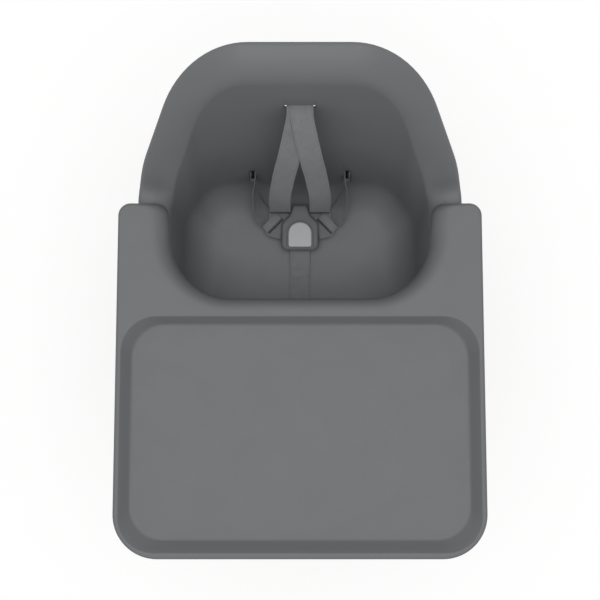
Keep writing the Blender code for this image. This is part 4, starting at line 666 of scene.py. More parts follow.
def from_bmesh(name, bm):
    bmesh.ops.recalc_face_normals(bm, faces=bm.faces)
    mesh = bpy.data.meshes.new(name)
    bm.to_mesh(mesh)
    bm.free()
    return linked(name, mesh)


def loft(name, loops):
    """A closed solid that bridges loops of equal counts."""
    bm = bmesh.new()
    rings = add_rings(bm, loops)
    bm.faces.new(list(reversed(rings[0])))
    bm.faces.new(rings[-1])
    return from_bmesh(name, bm)


def extruded(name, corners, move):
    """A flat face, pulled along a way in edit mode."""
    mesh = bpy.data.meshes.new(name)
    mesh.from_pydata(corners, [], [list(range(len(corners)))])
    obj = linked(name, mesh)
    edit(obj, "FACE")
    bpy.ops.mesh.select_all(action="SELECT")
    bpy.ops.mesh.extrude_region_move(TRANSFORM_OT_translate={"value": move})
    done()
    outwards(obj)
    return obj


def prism(name, outline, low, high):
    return extruded(name, [(p[0], p[1], low) for p in outline], (0, 0, high - low))


def side_prism(name, section, front, rear):
    """A section of x and z, pulled along Y."""
    return extruded(name, [(x, front, z) for x, z in section], (0, rear - front, 0))


def moulded_wall(name, bm, wall):
    """A moulded wall from a bmesh: its flat floor looks up, and its thickness is added below."""
    obj = from_bmesh(name, bm)
    floor = max(obj.data.polygons, key=lambda p: len(p.vertices))
    if floor.normal.z < 0:
        obj.data.flip_normals()
    modify(obj, "SOLIDIFY", thickness=wall, offset=-1, use_even_offset=True, use_quality_normals=True)
    return obj


def domed(name, outline_at, low, high, edge, steps=6):
    """A prism whose top edge rolls over; outline_at gives its outline moved in by a margin."""
    loops = [flat_loop(outline_at(0), low)]
    for s, c in quarter(steps):
        loops.append(flat_loop(outline_at(edge * (1 - c)), high - edge + edge * s))
    return loft(name, loops)


def flared_slot(name, frame, length, height, low, high, flare, steps=4):
    """A cutter with its length along X, whose rim opens in a rounding where it meets both faces."""
    levels = [(low - flare, flare)]
    for s, _ in quarter(steps):
        levels.append((low + flare * s, flare * (1 - sin(acos(1 - s)))))
    levels += [(low + high - z, wide) for z, wide in reversed(levels)]
    loops = []
    for z, wide in levels:
        w = length / 2 + wide
        h = height / 2 + wide
        corners = [(0, -h), (w, -h), (w, h), (0, h)]
        outline = full_outline(corners, [0, h * 0.6, h * 0.6, 0], [0, 7, 7, 0], [4, 1, 4])
        loops.append(flat_loop(outline, z))
    return place(loft(name, loops), frame)


# Finishes
TINT = {"data_type": "RGBA", "blend_type": "MULTIPLY"}
WHITE = (1, 1, 1, 1)


def feed(node, inputs):
    """Gives a node's inputs their values, and links those that come as another node's output."""
    for key, value in inputs.items() if isinstance(inputs, dict) else enumerate(inputs):
        if isinstance(value, bpy.types.NodeSocket):
            node.id_data.links.new(value, node.inputs[key])
        else:
            node.inputs[key].default_value = value


def add_node(tree, kind, inputs=(), out=0, **values):
    """Adds one node with its settings and links, and gives back one of its outputs."""
    node = tree.nodes.new(f"ShaderNode{kind}")
    for key, value in values.items():
        setattr(node, key, value)
    feed(node, inputs)
    return node.outputs[out] if len(node.outputs) else None


def new_look(name, colour, roughness, constants=None):
    """A material, its shader with the constant values set, and a way to add nodes to it."""
    look = bpy.data.materials.new(name)
    look.use_nodes = True
    shader = look.node_tree.nodes["Principled BSDF"]
    feed(shader, {"Base Color": (*colour, 1), "Roughness": roughness, **(constants or {})})
    look.diffuse_color = (*colour, 1)
    return look, shader, partial(add_node, look.node_tree)


def moulded_look(name, colour, roughness, grain, depth, marks):
    """Injection-moulded plastic.

    The mould is spark-eroded, which leaves the skin a fine even grain that scatters light and hides
    scuffs. The melt's flow leaves faint broad clouds in its colour, and handling polishes it in
    patches. The real grain is about 0.3 mm; it is drawn wider so that it still shows from a step away.
    """
    look, shader, add = new_look(name, colour, roughness)
    place = add("TexCoord", out="Object")
    clouds = add("TexNoise", {"Vector": place, "Scale": 1 / (90 * MM), "Detail": 3, "Distortion": 0.4})
    fine = add("TexNoise", {"Vector": place, "Scale": 1 / grain, "Detail": 4})
    pits = add("TexVoronoi", {"Vector": place, "Scale": 1 / grain, "Randomness": 0.9})
    polish = add("TexNoise", {"Vector": place, "Scale": 1 / (35 * MM), "Detail": 4, "Distortion": 0.8})
    broad = add("MapRange", [clouds, 0.3, 0.7, 0.99, 1.01])
    spots = add("MapRange", [fine, 0.3, 0.7, 1 - marks, 1 + marks])
    tone = add("Math", [broad, spots], operation="MULTIPLY")
    coarse = add("Bump", {"Height": pits, "Distance": depth, "Strength": 0.5})
    found = {
        "Base Color": add("Mix", {"Factor": 1, 6: (*colour, 1), 7: tone}, 2, **TINT),
        "Roughness": add("MapRange", [polish, 0.35, 0.7, roughness - 0.015, roughness + 0.02]),
        "Normal": add("Bump", {"Height": fine, "Distance": depth, "Strength": 0.4, "Normal": coarse}),
    }
    feed(shader, found)
    return look


def webbing_look(name, colour):
    """Woven polyester webbing.

    A narrow loom packs the warp so tightly that only its short floats show, in rows half a step
    apart, between two firm selvedges. Filament yarn gives it a soft sheen along the floats.
    """
    look, shader, add = new_look(name, colour, 0.72, {"Sheen Weight": 0.18, "Sheen Roughness": 0.45})
    place = add("UVMap", uv_map="weave")
    # One float covers about 1.9 mm by 1.25 mm
    rows = {"Vector": place, "Scale": 1, "Mortar Size": 0.16 * MM, "Mortar Smooth": 0.8}
    rows.update({"Brick Width": 1.9 * MM, "Row Height": 1.25 * MM})
    # The mortar, the gaps between the floats, is set to 0.55 as painted shade; the floats' two tones differ
    # at random
    for key, level in (("Color1", 0.93), ("Color2", 1.07), ("Mortar", 0.55)):
        rows[key] = (level, level, level, 1)
    floats = add("TexBrick", rows, offset=0.5)
    between = floats.node.outputs["Fac"]
    # A groove runs beside each selvedge: the same mask sinks the bump there and darkens the colour to 0.72 as
    # painted shade
    across = add("Math", [add("SeparateXYZ", [place], "Y")], operation="ABSOLUTE")
    groove = add("Math", [across, sizes().harness.width / 2 - 1.7 * MM], operation="SUBTRACT")
    near = add("MapRange", [add("Math", [groove], operation="ABSOLUTE"), 0, 0.35 * MM, 0.72, 1])
    wear = add("TexNoise", {"Vector": place, "Scale": 1 / (14 * MM), "Detail": 3})
    drawn = add("Mapping", {"Vector": place, "Scale": (0.25, 1, 1)})
    fibre = add("TexNoise", {"Vector": drawn, "Scale": 1 / (0.35 * MM)})
    tone = near
    for source, swing in ((wear, 0.045), (fibre, 0.05)):
        part = add("MapRange", [source, 0.3, 0.7, 1 - swing, 1 + swing])
        tone = add("Math", [tone, part], operation="MULTIPLY")
    # The yarn's colour times its random wear and fibre tone and the painted shade in the grooves
    dyed_with_groove_shade = add("Mix", {"Factor": 1, 6: (*colour, 1), 7: tone}, 2, **TINT)
    weave = add("Math", [add("MapRange", [between, 0, 1, 1, 0]), near], operation="MULTIPLY")
    threads = add("Bump", {"Height": fibre, "Distance": 0.03 * MM, "Strength": 0.5})
    found = {
        "Base Color": add("Mix", {"Factor": 1, 6: dyed_with_groove_shade, 7: floats}, 2, **TINT),
        "Roughness": add("MapRange", [between, 0, 1, 0.66, 0.86]),
        "Normal": add("Bump", {"Height": weave, "Distance": 0.14 * MM, "Strength": 0.75, "Normal": threads}),
    }
    feed(shader, found)
    return look


def thread_look(name, colour):
    """Bonded polyester sewing thread: two strands twisted together, slightly waxy."""
    look, shader, add = new_look(name, colour, 0.6)
    place = add("TexCoord", out="Object")
    strands = add("TexNoise", {"Vector": place, "Scale": 1 / (0.5 * MM), "Detail": 1})
    tone = add("MapRange", [strands, 0.3, 0.7, 0.85, 1.15])
    found = {
        "Base Color": add("Mix", {"Factor": 1, 6: (*colour, 1), 7: tone}, 2, **TINT),
        "Normal": add("Bump", {"Height": strands, "Distance": 0.05 * MM, "Strength": 0.6}),
    }
    feed(shader, found)
    return look


def beech_look(name, colour):
    """Turned beech under a clear satin lacquer.

    Beech is pale and even: faint growth rings run along the piece, and short dark flecks, the wood's
    rays, lie everywhere on it. The lacquer fills the pores, so the light slides along it softly. The
    grain lies in the piece's own attribute, whose Z runs along the wood.
    """
    look, shader, add = new_look(name, colour, 0.42, {"Coat Weight": 0.25, "Coat Roughness": 0.3})
    place = add("Attribute", out="Vector", attribute_name="grain", attribute_type="GEOMETRY")
    drawn, thin, short = [add("Mapping", {"Vector": place, "Scale": (1, 1, z)}) for z in (0.05, 0.03, 0.28)]
    bend = add("TexNoise", {"Vector": drawn, "Scale": 1 / (16 * MM), "Detail": 3, "Distortion": 0.6})
    fibres = add("TexNoise", {"Vector": thin, "Scale": 1 / (1.6 * MM), "Detail": 4, "Distortion": 0.2})
    growth = {"Vector": drawn, "Scale": 20, "Distortion": 5, "Detail": 3, "Detail Scale": 0.8}
    rings = add("TexWave", growth, "Fac", wave_type="BANDS", bands_direction="X")
    # Rays about 2.5 mm long and 0.5 mm wide
    rays = add("TexVoronoi", {"Vector": short, "Scale": 1 / (1.7 * MM), "Randomness": 0.9})
    fleck = add("MapRange", [rays, 0.12, 0.30, 0, 1])
    light = [min(c * 1.14, 1) for c in colour]
    dark = [c * share for c, share in zip(colour, (0.80, 0.72, 0.62))]
    wood = add("MapRange", [add("Math", [rings, bend], operation="MULTIPLY"), 0.05, 0.65, 0, 0.8])
    warm = add("Mix", {"Factor": wood, 6: (*light, 1), 7: (*dark, 1)}, 2, data_type="RGBA")
    marks = [add("MapRange", [fibres, 0.35, 0.68, 1.06, 0.90]), add("MapRange", [fleck, 0, 1, 0.80, 1])]
    tone = add("Math", marks, operation="MULTIPLY")
    soft = add("Bump", {"Height": fibres, "Distance": 0.05 * MM, "Strength": 0.35})
    found = {
        "Base Color": add("Mix", {"Factor": 1, 6: warm, 7: tone}, 2, **TINT),
        "Roughness": add("MapRange", [fibres, 0.3, 0.7, 0.36, 0.50]),
        "Normal": add("Bump", {"Height": fleck, "Distance": 0.04 * MM, "Strength": 0.4, "Normal": soft}),
    }
    feed(shader, found)
    return look


def steel_look(name, colour, roughness):
    """Drawn or turned steel under a thin bath coat, bright zinc or black oxide, duller in patches."""
    look, shader, add = new_look(name, colour, roughness, {"Metallic": 1})
    place = add("TexCoord", out="Object")
    patches = add("TexNoise", {"Vector": place, "Scale": 1 / (5 * MM), "Detail": 3})
    crystals = add("TexNoise", {"Vector": place, "Scale": 1 / (0.7 * MM), "Detail": 4})
    cool = [c * share for c, share in zip(colour, (0.93, 0.97, 1.03))]
    warm = [c * share for c, share in zip(colour, (1.05, 1.02, 0.95))]
    tint = add("MapRange", [patches, 0.3, 0.7, 0, 1])
    dull = add("MapRange", [patches, 0.3, 0.7, roughness - 0.1, roughness + 0.04])
    grit = add("MapRange", [crystals, 0.3, 0.7, 0, 0.08])
    found = {
        "Base Color": add("Mix", {"Factor": tint, 6: (*cool, 1), 7: (*warm, 1)}, 2, data_type="RGBA"),
        "Roughness": add("Math", [dull, grit], operation="ADD"),
        "Normal": add("Bump", {"Height": crystals, "Distance": 0.02 * MM, "Strength": 0.4}),
    }
    feed(shader, found)
    return look


def rubber_look(name, colour):
    """Moulded rubber: dull, a little dusty where it meets the floor, with a pebbled skin."""
    look, shader, add = new_look(name, colour, 0.82)
    place = add("TexCoord", out="Object")
    pebbles = add("TexVoronoi", {"Vector": place, "Scale": 1 / (1.4 * MM), "Randomness": 0.9})
    dust = add("TexNoise", {"Vector": place, "Scale": 1 / (12 * MM), "Detail": 4})
    low = add("MapRange", [add("SeparateXYZ", [place], "Z"), 0, 12 * MM, 1, 0])
    dusty = [blend(c, 0.25, 0.35) for c in colour]
    amount = add("Math", [low, add("MapRange", [dust, 0.35, 0.65, 0, 0.8])], operation="MULTIPLY")
    found = {
        "Base Color": add("Mix", {"Factor": amount, 6: (*colour, 1), 7: (*dusty, 1)}, 2, data_type="RGBA"),
        "Roughness": add("MapRange", [dust, 0.3, 0.7, 0.74, 0.9]),
        "Normal": add("Bump", {"Height": pebbles, "Distance": 0.12 * MM, "Strength": 0.5}),
    }
    feed(shader, found)
    return look


# Each finish: its maker, its colour, a slot name that nothing here reads, and what else the maker needs
FINISHES = {
    "moulded_shell_grain": (moulded_look, "shell", "moulded_shell", 0.62, 1.3 * MM, 0.09 * MM, 0.022),
    "moulded_tray_grain": (moulded_look, "tray", "moulded_tray", 0.60, 1.2 * MM, 0.06 * MM, 0.016),
    "acetal_satin": (moulded_look, "buckle", "buckle_plastic", 0.60, 0.9 * MM, 0.03 * MM, 0.014),
    "acetal_button": (moulded_look, "button", "button_plastic", 0.58, 0.9 * MM, 0.025 * MM, 0.012),
    "glass_filled_nylon": (moulded_look, "base", "base_plastic", 0.58, 1.1 * MM, 0.08 * MM, 0.05),
    "webbing_weave": (webbing_look, "webbing", "webbing"),
    "sewing_thread": (thread_look, "thread", "webbing"), "beech": (beech_look, "beech", "wood"),
    "zinc_plated_steel": (steel_look, "steel", "steel", 0.34),
    "black_oxide_steel": (steel_look, "dark_steel", "steel", 0.5),
    "moulded_rubber": (rubber_look, "rubber", "rubber"),
}


def look_of(name):
    """The finish of a name, made the first time that it is asked for."""
    maker, colour_name, _, *rest = FINISHES[name]
    found = bpy.data.materials.get(name)
    return found or maker(name, tuple(getattr(sizes().colours, colour_name)), *rest)


# Seat shell
def steps(count):
    """A count of spans along a rounding, times the scene's smoothness."""
    return count * sizes().smoothness


def arm_share(y):
    """How far the rim has risen from the seat's front edge to the armrest."""
    s = sizes().seat
    return smooth_step((y - s.front_y) / s.front_corner)


def back_share(y):
    """How far the rim has risen from the armrest to the top of the back, easing in at first."""
    s = sizes().seat
    ease = 0.12
    share = max(0.0, (y - s.arm_rear_y) / (s.depth / 2 - s.arm_rear_y))
    if share < ease:
        return share**2 / (2 * ease) / (1 - ease / 2)
    return (share - ease / 2) / (1 - ease / 2)


def shell_section(inner, pan, wall, rim):
    """One section of the shell, from its flat pan over the wall and the rolled lip to its edge."""
    s = sizes().seat
    up = arm_share(rim.y)
    back = back_share(rim.y)
    height = blend(s.pan, s.arm, up) + (s.top - s.arm) * back
    drop = blend(s.waterfall_drop, s.lip_drop, up)
    path = [(*inner, s.pan), (*pan, s.pan), (*wall, height), (*rim, height), (*rim, height - drop)]
    roll = blend(s.arm_roll, s.back_roll, back)
    edge = blend(s.waterfall, s.lip_edge, up)
    arcs = [0, steps(3), steps(4), steps(3), 0]
    return rounded_path(path, [0, s.fillet, roll, edge, 0], arcs, [2, steps(3), 2, 2])[1:]


def shell_outlines():
    """Plan outlines of the pan's flat, its foot, the wall's top and the rim's edge."""
    s = sizes().seat
    rim = [
        (0, s.front_y), (s.half_width, s.front_y), (s.half_width, s.shoulder_y),
        (s.top_half_width, s.depth / 2), (0, s.depth / 2),
    ]
    wall = inset(rim, [s.front_lip, s.lip, s.lip, s.lip])
    pan = inset(wall, [s.front_lean, s.side_lean, s.shoulder_lean, s.back_lean])
    inner = inset(pan, [s.fillet] * 4)
    radii = [
        [0, s.pan_front / 2, s.pan_rear, s.pan_rear / 2, 0],
        [0, s.pan_front, s.pan_rear, s.pan_rear, 0],
        [0, s.front_corner - s.lip, s.shoulder_corner, s.top_corner - s.lip, 0],
        [0, s.front_corner, s.shoulder_corner, s.top_corner, 0],
    ]
    arcs = [0, steps(6), steps(4), steps(5), 0]
    legs = [steps(2), steps(3), steps(2), steps(2)]
    return [full_outline(corners, r, arcs, legs) for corners, r in zip((inner, pan, wall, rim), radii)]


def wall_plane():
    """A point on the inside of the back's middle, and the direction up along it."""
    s = sizes().seat
    foot = Vector((0, s.depth / 2 - s.lip - s.back_lean, s.pan))
    return foot, Vector((0, s.back_lean, s.top - s.pan)).normalized()


def on_back(x, height):
    """The point on the inside of the back at a height."""
    foot, up = wall_plane()
    point = foot + up * ((height - foot.z) / up.z)
    return Vector((x, point.y, height))


def bar_loop_radius(bar_radius, outside=0):
    """The radius of a strap's middle round a bar, outside other straps."""
    h = sizes().harness
    return bar_radius + GAP + h.thickness / 2 + outside * (h.thickness + GAP)


def slot_opening(layers):
    """The clear height of a slot that passes nested strap ends, counted in straps."""
    h = sizes().harness
    return 2 * (bar_loop_radius(h.bar, layers - 1) + h.thickness / 2 + GAP) + h.ease


def strap_slots():
    """Frame, length and height of each slot that webbing passes through."""
    h = sizes().harness
    s = sizes().seat
    length = h.width + 2 * h.side_clearance
    up = wall_plane()[1]
    slots = [
        (
            axis_frame(on_back(0, h.shoulder_slot), ACROSS.cross(up), (1, 0, 0)),
            length + 2 * h.spread, slot_opening(2) + 2 * h.ease,
        ),
        (
            axis_frame((0, h.crotch_slot_y, s.pan), (0, 0, -1), (1, 0, 0)), length,
            slot_opening(1) + 2 * h.bend,
        ),
    ]
    for _, sign in SIDES:
        frame = axis_frame(on_back(sign * h.waist_slot_x, h.waist_slot), ACROSS.cross(up), up)
        slots.append((frame, h.waist_slot_length, slot_opening(1)))
    return slots


def boss_places():
    s = sizes().seat
    return [(x, y) for x in (-s.boss_x, s.boss_x) for y in (s.boss_front_y, s.boss_rear_y)]


class HIGHCHAIR_OT_seat_shell(Operator):
    """Moulds the bucket seat: pan, walls, rolled lip, bosses and slots"""

    bl_idname = "high_chair.seat_shell"
    bl_label = "Seat shell"

    def execute(self, context):
        s = sizes().seat
        sections = [shell_section(*stations) for stations in zip(*shell_outlines())]
        bm = bmesh.new()
        rings = add_rings(bm, [list(ring) for ring in zip(*sections)])
        bm.faces.new(rings[0])
        shell = moulded_wall("seat_shell", bm, s.wall)
        # The lip's two arrises are eased, as a mould leaves them
        modify(
            shell, "BEVEL", width=0.5 * MM, segments=3, limit_method="ANGLE", angle_limit=radians(55),
            use_clamp_overlap=False, loop_slide=False,
        )
        for i, (x, y) in enumerate(boss_places()):
            foot = s.pan - s.wall - s.boss_height
            flare = s.boss_radius * 0.25
            profile = arc_profile(s.boss_radius, foot, 0.8 * MM, -1, 3)
            profile += [(s.boss_radius, s.pan - s.wall - flare), (s.boss_radius + flare, s.pan - s.wall)]
            profile += [(s.boss_radius + flare, s.pan - s.wall / 2)]
            boss = place(turned(f"shell_boss_{i}", profile), shift(x, y))
            fuse(shell, boss)
            tip = foot + 7.5 * MM
            bore = [(SCREW_ROOM, foot - MM), (SCREW_ROOM, tip), (0.6 * MM, tip + MM)]
            cut(shell, place(turned(f"shell_bore_{i}", bore, 24), shift(x, y)))
        for i, (frame, length, height) in enumerate(strap_slots()):
            tool = flared_slot(f"strap_slot_{i}", frame, length, height, *slot_depths(frame), 0.9 * MM)
            cut(shell, tool)
        finish(shell, "moulded_shell_grain", "chair", "seat_shell", 38)
        return {"FINISHED"}


def slot_depths(frame):
    """Where a slot's cutter meets the inside and the outside of the wall, along the frame's Z."""
    wall = sizes().seat.wall
    outwards = frame.to_3x3() @ Vector((0, 0, 1))
    inside_first = outwards.y > 0.5 or outwards.z < -0.5
    return (0, wall) if inside_first else (-wall, 0)


# Harness
def directions(points):
    """The way each point of a path goes."""
    befores = [points[0], *points[:-1]]
    afters = [*points[1:], points[-1]]
    return [(after - before).normalized() for before, after in zip(befores, afters)]


def bar_loop(centre, travel, layer, radius, tail, spans=12):
    """A strap's end round a bar: it comes in along travel on the layer side and goes back below."""
    travel = Vector(travel).normalized()
    layer = Vector(layer).normalized()
    points = []
    for i in range(spans + 1):
        turn = pi * i / spans
        points.append(centre + (layer * cos(turn) + travel * sin(turn)) * radius)
    last = points[-1]
    for i in range(3):
        points.append(last - travel * tail * (i + 1) / 3)
    return points


def carried_sides(points, start, end, first, last):
    """Sides carried along the bends, with the turn that is left spread from one point to another."""
    ways = directions(points)
    sides = [start]
    for before, after in zip(ways, ways[1:]):
        sides.append(before.rotation_difference(after) @ sides[-1])
    final = sides[-1]
    target = end if final.dot(end) > 0 else -end
    turn = atan2(final.cross(target).dot(ways[-1]), final.dot(target))
    shares = [smooth_step((i - first) / (last - first)) for i in range(len(points))]
    return [Quaternion(way, turn * share) @ side for way, share, side in zip(ways, shares, sides)]


def webbing_section():
    """Places round a strap's section, as (across, up) in metres: flat faces and round selvedges."""
    h = sizes().harness
    half = h.width / 2
    up = h.thickness / 2
    flat = half - up
    columns = 10
    top = [(blend(-flat, flat, i / columns), up) for i in range(columns + 1)]
    right = [(flat + up * sin(t), up * cos(t)) for t in (pi / 4, pi / 2, 3 * pi / 4)]
    bottom = [(-x, -z) for x, z in top]
    left = [(-x, -z) for x, z in right]
    return top + right + bottom + left


def webbing(name, points, sides):
    """A strap along points, unwrapped in metres so that its weave runs along it."""
    section = webbing_section()
    bm = bmesh.new()
    layer = bm.loops.layers.uv.new("weave")
    run = 0.0
    rings = []
    runs = []
    for i, (point, along, side) in enumerate(zip(points, directions(points), sides)):
        if i:
            run += (point - points[i - 1]).length
        side = (side - along * side.dot(along)).normalized()
        up = side.cross(along).normalized()
        rings.append([bm.verts.new(point + side * a + up * b) for a, b in section])
        runs.append(run)
    count = len(section)
    for k, (low, high) in enumerate(zip(rings, rings[1:])):
        for i in range(count):
            j = (i + 1) % count
            face = bm.faces.new((low[i], low[j], high[j], high[i]))
            for loop, (n, m) in zip(face.loops, ((k, i), (k, j), (k + 1, j), (k + 1, i))):
                loop[layer].uv = (runs[n], section[m][0])
    for ring, at in ((rings[0], runs[0]), (rings[-1], runs[-1])):
        face = bm.faces.new(ring)
        for loop, (a, _) in zip(face.loops, section):
            loop[layer].uv = (at, a)
    strap = from_bmesh(name, bm)
    return finish(strap, "webbing_weave", "chair", name, 50)


def full_strap(name, start_loop, route, end_loop, start_side, end_side):
    """Webbing with a looped end at each side of its route; gives back its path for the sewing."""
    main = smooth_curve([start_loop[0], *route, end_loop[0]], 8)[1:-1]
    points = [*reversed(start_loop), *main, *end_loop]
    first = len(start_loop) + 8
    sides = carried_sides(points, start_side, end_side, first, len(start_loop) + len(main))
    webbing(name, points, sides)
    return points, sides


def stitches(name, places, stitch=2.1 * MM, thread=0.42 * MM):
    """Sewn stitches: one short arched thread, copied to each (middle, along, up) place."""
    bpy.ops.mesh.primitive_cylinder_add(vertices=6, radius=thread / 2, depth=stitch, end_fill_type="NGON")
    first = named(f"{name}_stitch")
    edit(first, "EDGE")
    choose(first, "edges", lambda e: abs(e.verts[0].co.z - e.verts[1].co.z) > stitch / 2)
    bpy.ops.mesh.subdivide(number_cuts=3)
    done()
    for v in first.data.vertices:
        share = v.co.z / (stitch / 2)
        v.co.x -= thread * 0.55 * share**2
        narrow = 1 - 0.35 * share**4
        v.co.y *= narrow
    copies = []
    for i, (middle, along, up) in enumerate(places):
        copies.append(copy_of(first, f"{name}_{i}", axis_frame(middle, along, up)))
    bpy.data.objects.remove(first, do_unlink=True)
    bpy.ops.object.select_all(action="DESELECT")
    for obj in copies:
        obj.select_set(True)
    bpy.context.view_layer.objects.active = copies[0]
    bpy.ops.object.join()
    seam = named(name)
    bpy.ops.object.shade_smooth()
    seam.data.materials.append(look_of("sewing_thread"))
    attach(seam, "chair")
    return seam


def seam_places(points, sides, at, rows, columns=8):
    """Places of stitch rows across a strap, each row at a distance along its path from one end."""
    h = sizes().harness
    runs = [0.0]
    for a, b in zip(points, points[1:]):
        runs.append(runs[-1] + (b - a).length)
    ways = directions(points)
    side_up = sewn_up(points, sides, at)
    row_gap = 5 * MM
    found = []
    for row in range(rows):
        want = at + row * row_gap
        k = min(range(len(runs)), key=lambda i: abs(runs[i] - want))
        way = ways[k]
        side = (sides[k] - way * sides[k].dot(way)).normalized()
        up = side.cross(way).normalized() * side_up
        point = points[k] + way * (want - runs[k])
        for i in range(columns):
            across = blend(-0.5, 0.5, (i + 0.5) / columns) * (h.width - 4.5 * MM)
            found.append((point + side * across + up * (h.thickness / 2), side, up))
    return found


def path_length(points):
    return sum((b - a).length for a, b in zip(points, points[1:]))


def shoulder_bar_centre():
    h = sizes().harness
    up = wall_plane()[1]
    stand_off = h.bar_end + GAP
    return on_back(0, h.shoulder_slot) + Vector((0, (sizes().seat.wall + stand_off) / up.z, 0))


def waist_bar_centre(x):
    h = sizes().harness
    up = wall_plane()[1]
    outwards = Vector((0, up.z, -up.y))
    return on_back(x, h.waist_slot) + outwards * (sizes().seat.wall + h.bar_end + GAP)


def crotch_bar_centre():
    h = sizes().harness
    s = sizes().seat
    return Vector((0, h.crotch_slot_y, s.pan - s.wall - h.bar_end - GAP))


class HIGHCHAIR_OT_strap_bars(Operator):
    """Turns the four steel bars that the straps are looped round behind their slots"""

    bl_idname = "high_chair.strap_bars"
    bl_label = "Strap bars"

    def execute(self, context):
        h = sizes().harness
        overhang = 8 * MM
        up = wall_plane()[1]
        wide = h.width + 2 * (h.side_clearance + h.spread + overhang)
        span = h.width + 2 * (h.side_clearance + overhang)
        tall = h.waist_slot_length + 2 * overhang
        bars = [
            ("shoulder_strap_anchor", shoulder_bar_centre(), ACROSS, (0, 1, 0), wide),
            ("crotch_strap_anchor", crotch_bar_centre(), ACROSS, (0, 1, 0), span),
        ]
        for side, sign in SIDES:
            centre = waist_bar_centre(sign * h.waist_slot_x)
            bars.append((f"waist_strap_anchor_{side}", centre, up, (1, 0, 0), tall))
        for name, centre, direction, side, length_ in bars:
            half = length_ / 2
            neck = half - h.bar_end_length
            edge = 0.5 * MM
            profile = arc_profile(h.bar_end, -half, edge, -1, 3)
            profile += arc_profile(h.bar_end, -neck, edge, 1, 3)
            profile += [(h.bar, -neck), (h.bar, neck)]
            profile += arc_profile(h.bar_end, neck, edge, -1, 3)
            profile += arc_profile(h.bar_end, half, edge, 1, 3)
            bar = place(turned(name, profile, 28), axis_frame(centre, direction, side))
            finish(bar, "black_oxide_steel", "chair", name, 40)
        return {"FINISHED"}


def strap_rest_height():
    """The height of webbing's middle where it lies on the pan."""
    return sizes().seat.pan + GAP + sizes().harness.thickness / 2


def buckle_loop_radius():
    b = sizes().buckle
    return bar_loop_radius(hypot(b.bar_half, b.back / 2))


def buckle_bar_height():
    return strap_rest_height() + buckle_loop_radius()


def buckle_bottom():
    """The underside of the housing, on top of the buckle's back."""
    return buckle_bar_height() + sizes().buckle.back / 2 + GAP


def buckle_top():
    return buckle_bottom() + sizes().buckle.height


def tongue_middle():
    b = sizes().buckle
    return buckle_bottom() + b.tongue_height + b.tongue / 2


def waist_eye_ways(sign):
    """The way along a tongue's waist bar, and the way in which its strap leaves it."""
    slant = sqrt(0.5)
    return Vector((sign * slant, -slant, 0)), Vector((sign * slant, slant, 0))


class HIGHCHAIR_OT_shoulder_straps(Operator):
    """Weaves the two shoulder straps from their shared slot to the buckle's tongues"""

    bl_idname = "high_chair.shoulder_straps"
    bl_label = "Shoulder straps"

    def execute(self, context):
        h = sizes().harness
        b = sizes().buckle
        wall = sizes().seat.wall
        # The route's stations as shares of the way from slot to buckle: sideways, forwards, down
        route_shares = [
            (0.18, 0.35, 0.03), (0.47, 0.58, 0.105), (0.68, 0.71, 0.20), (0.83, 0.81, 0.34),
            (0.95, 0.885, 0.507), (1.00, 0.955, 0.71), (1.00, 0.99, 0.87),
        ]
        lift_share = 1.5
        for (side, sign), outside in zip(SIDES, (0, 1)):
            centre = shoulder_bar_centre() + Vector((sign * h.spread, 0, 0))
            start = bar_loop(centre, (0, 1, 0), (0, 0, 1), bar_loop_radius(h.bar, outside), wall + h.tail)
            eye = Vector((sign * b.shoulder_x, b.shoulder_bar_y, tongue_middle()))
            radius = bar_loop_radius(hypot(b.tongue_bar, b.tongue / 2))
            end = bar_loop(eye, (0, 0, -1), (0, -1, 0), radius, h.tail)
            way = end[0] - start[0]
            stops = [start[0] - Vector((0, wall + h.tail, 0))]
            for across, forward, down in route_shares:
                stops.append(start[0] + Vector((way.x * across, way.y * forward, way.z * down)))
            route = stops[:1]
            for before, stop, after, shares in zip(stops, stops[1:], [*stops[2:], end[0]], route_shares):
                facing = ACROSS.cross(before - after).normalized()
                route.append(stop + facing * outside * h.thickness * (lift_share - shares[0]))
            name = f"shoulder_strap_{side}"
            points, sides = full_strap(name, start, route, end, ACROSS, ACROSS)
            at = path_length(points) - h.tail - pi * radius - 14 * MM
            stitches(f"shoulder_seam_{side}", seam_places(points, sides, at, 2))
        return {"FINISHED"}


def sewn_up(points, sides, at):
    """Which face of a strap looks up and forwards at a distance along its path: 1 or -1."""
    run = 0.0
    for i, (a, b) in enumerate(zip(points, points[1:])):
        run += (b - a).length
        if run >= at:
            way = (b - a).normalized()
            up = sides[i].cross(way)
            return 1 if up.dot(Vector((0, -1, 1))) > 0 else -1
    return 1


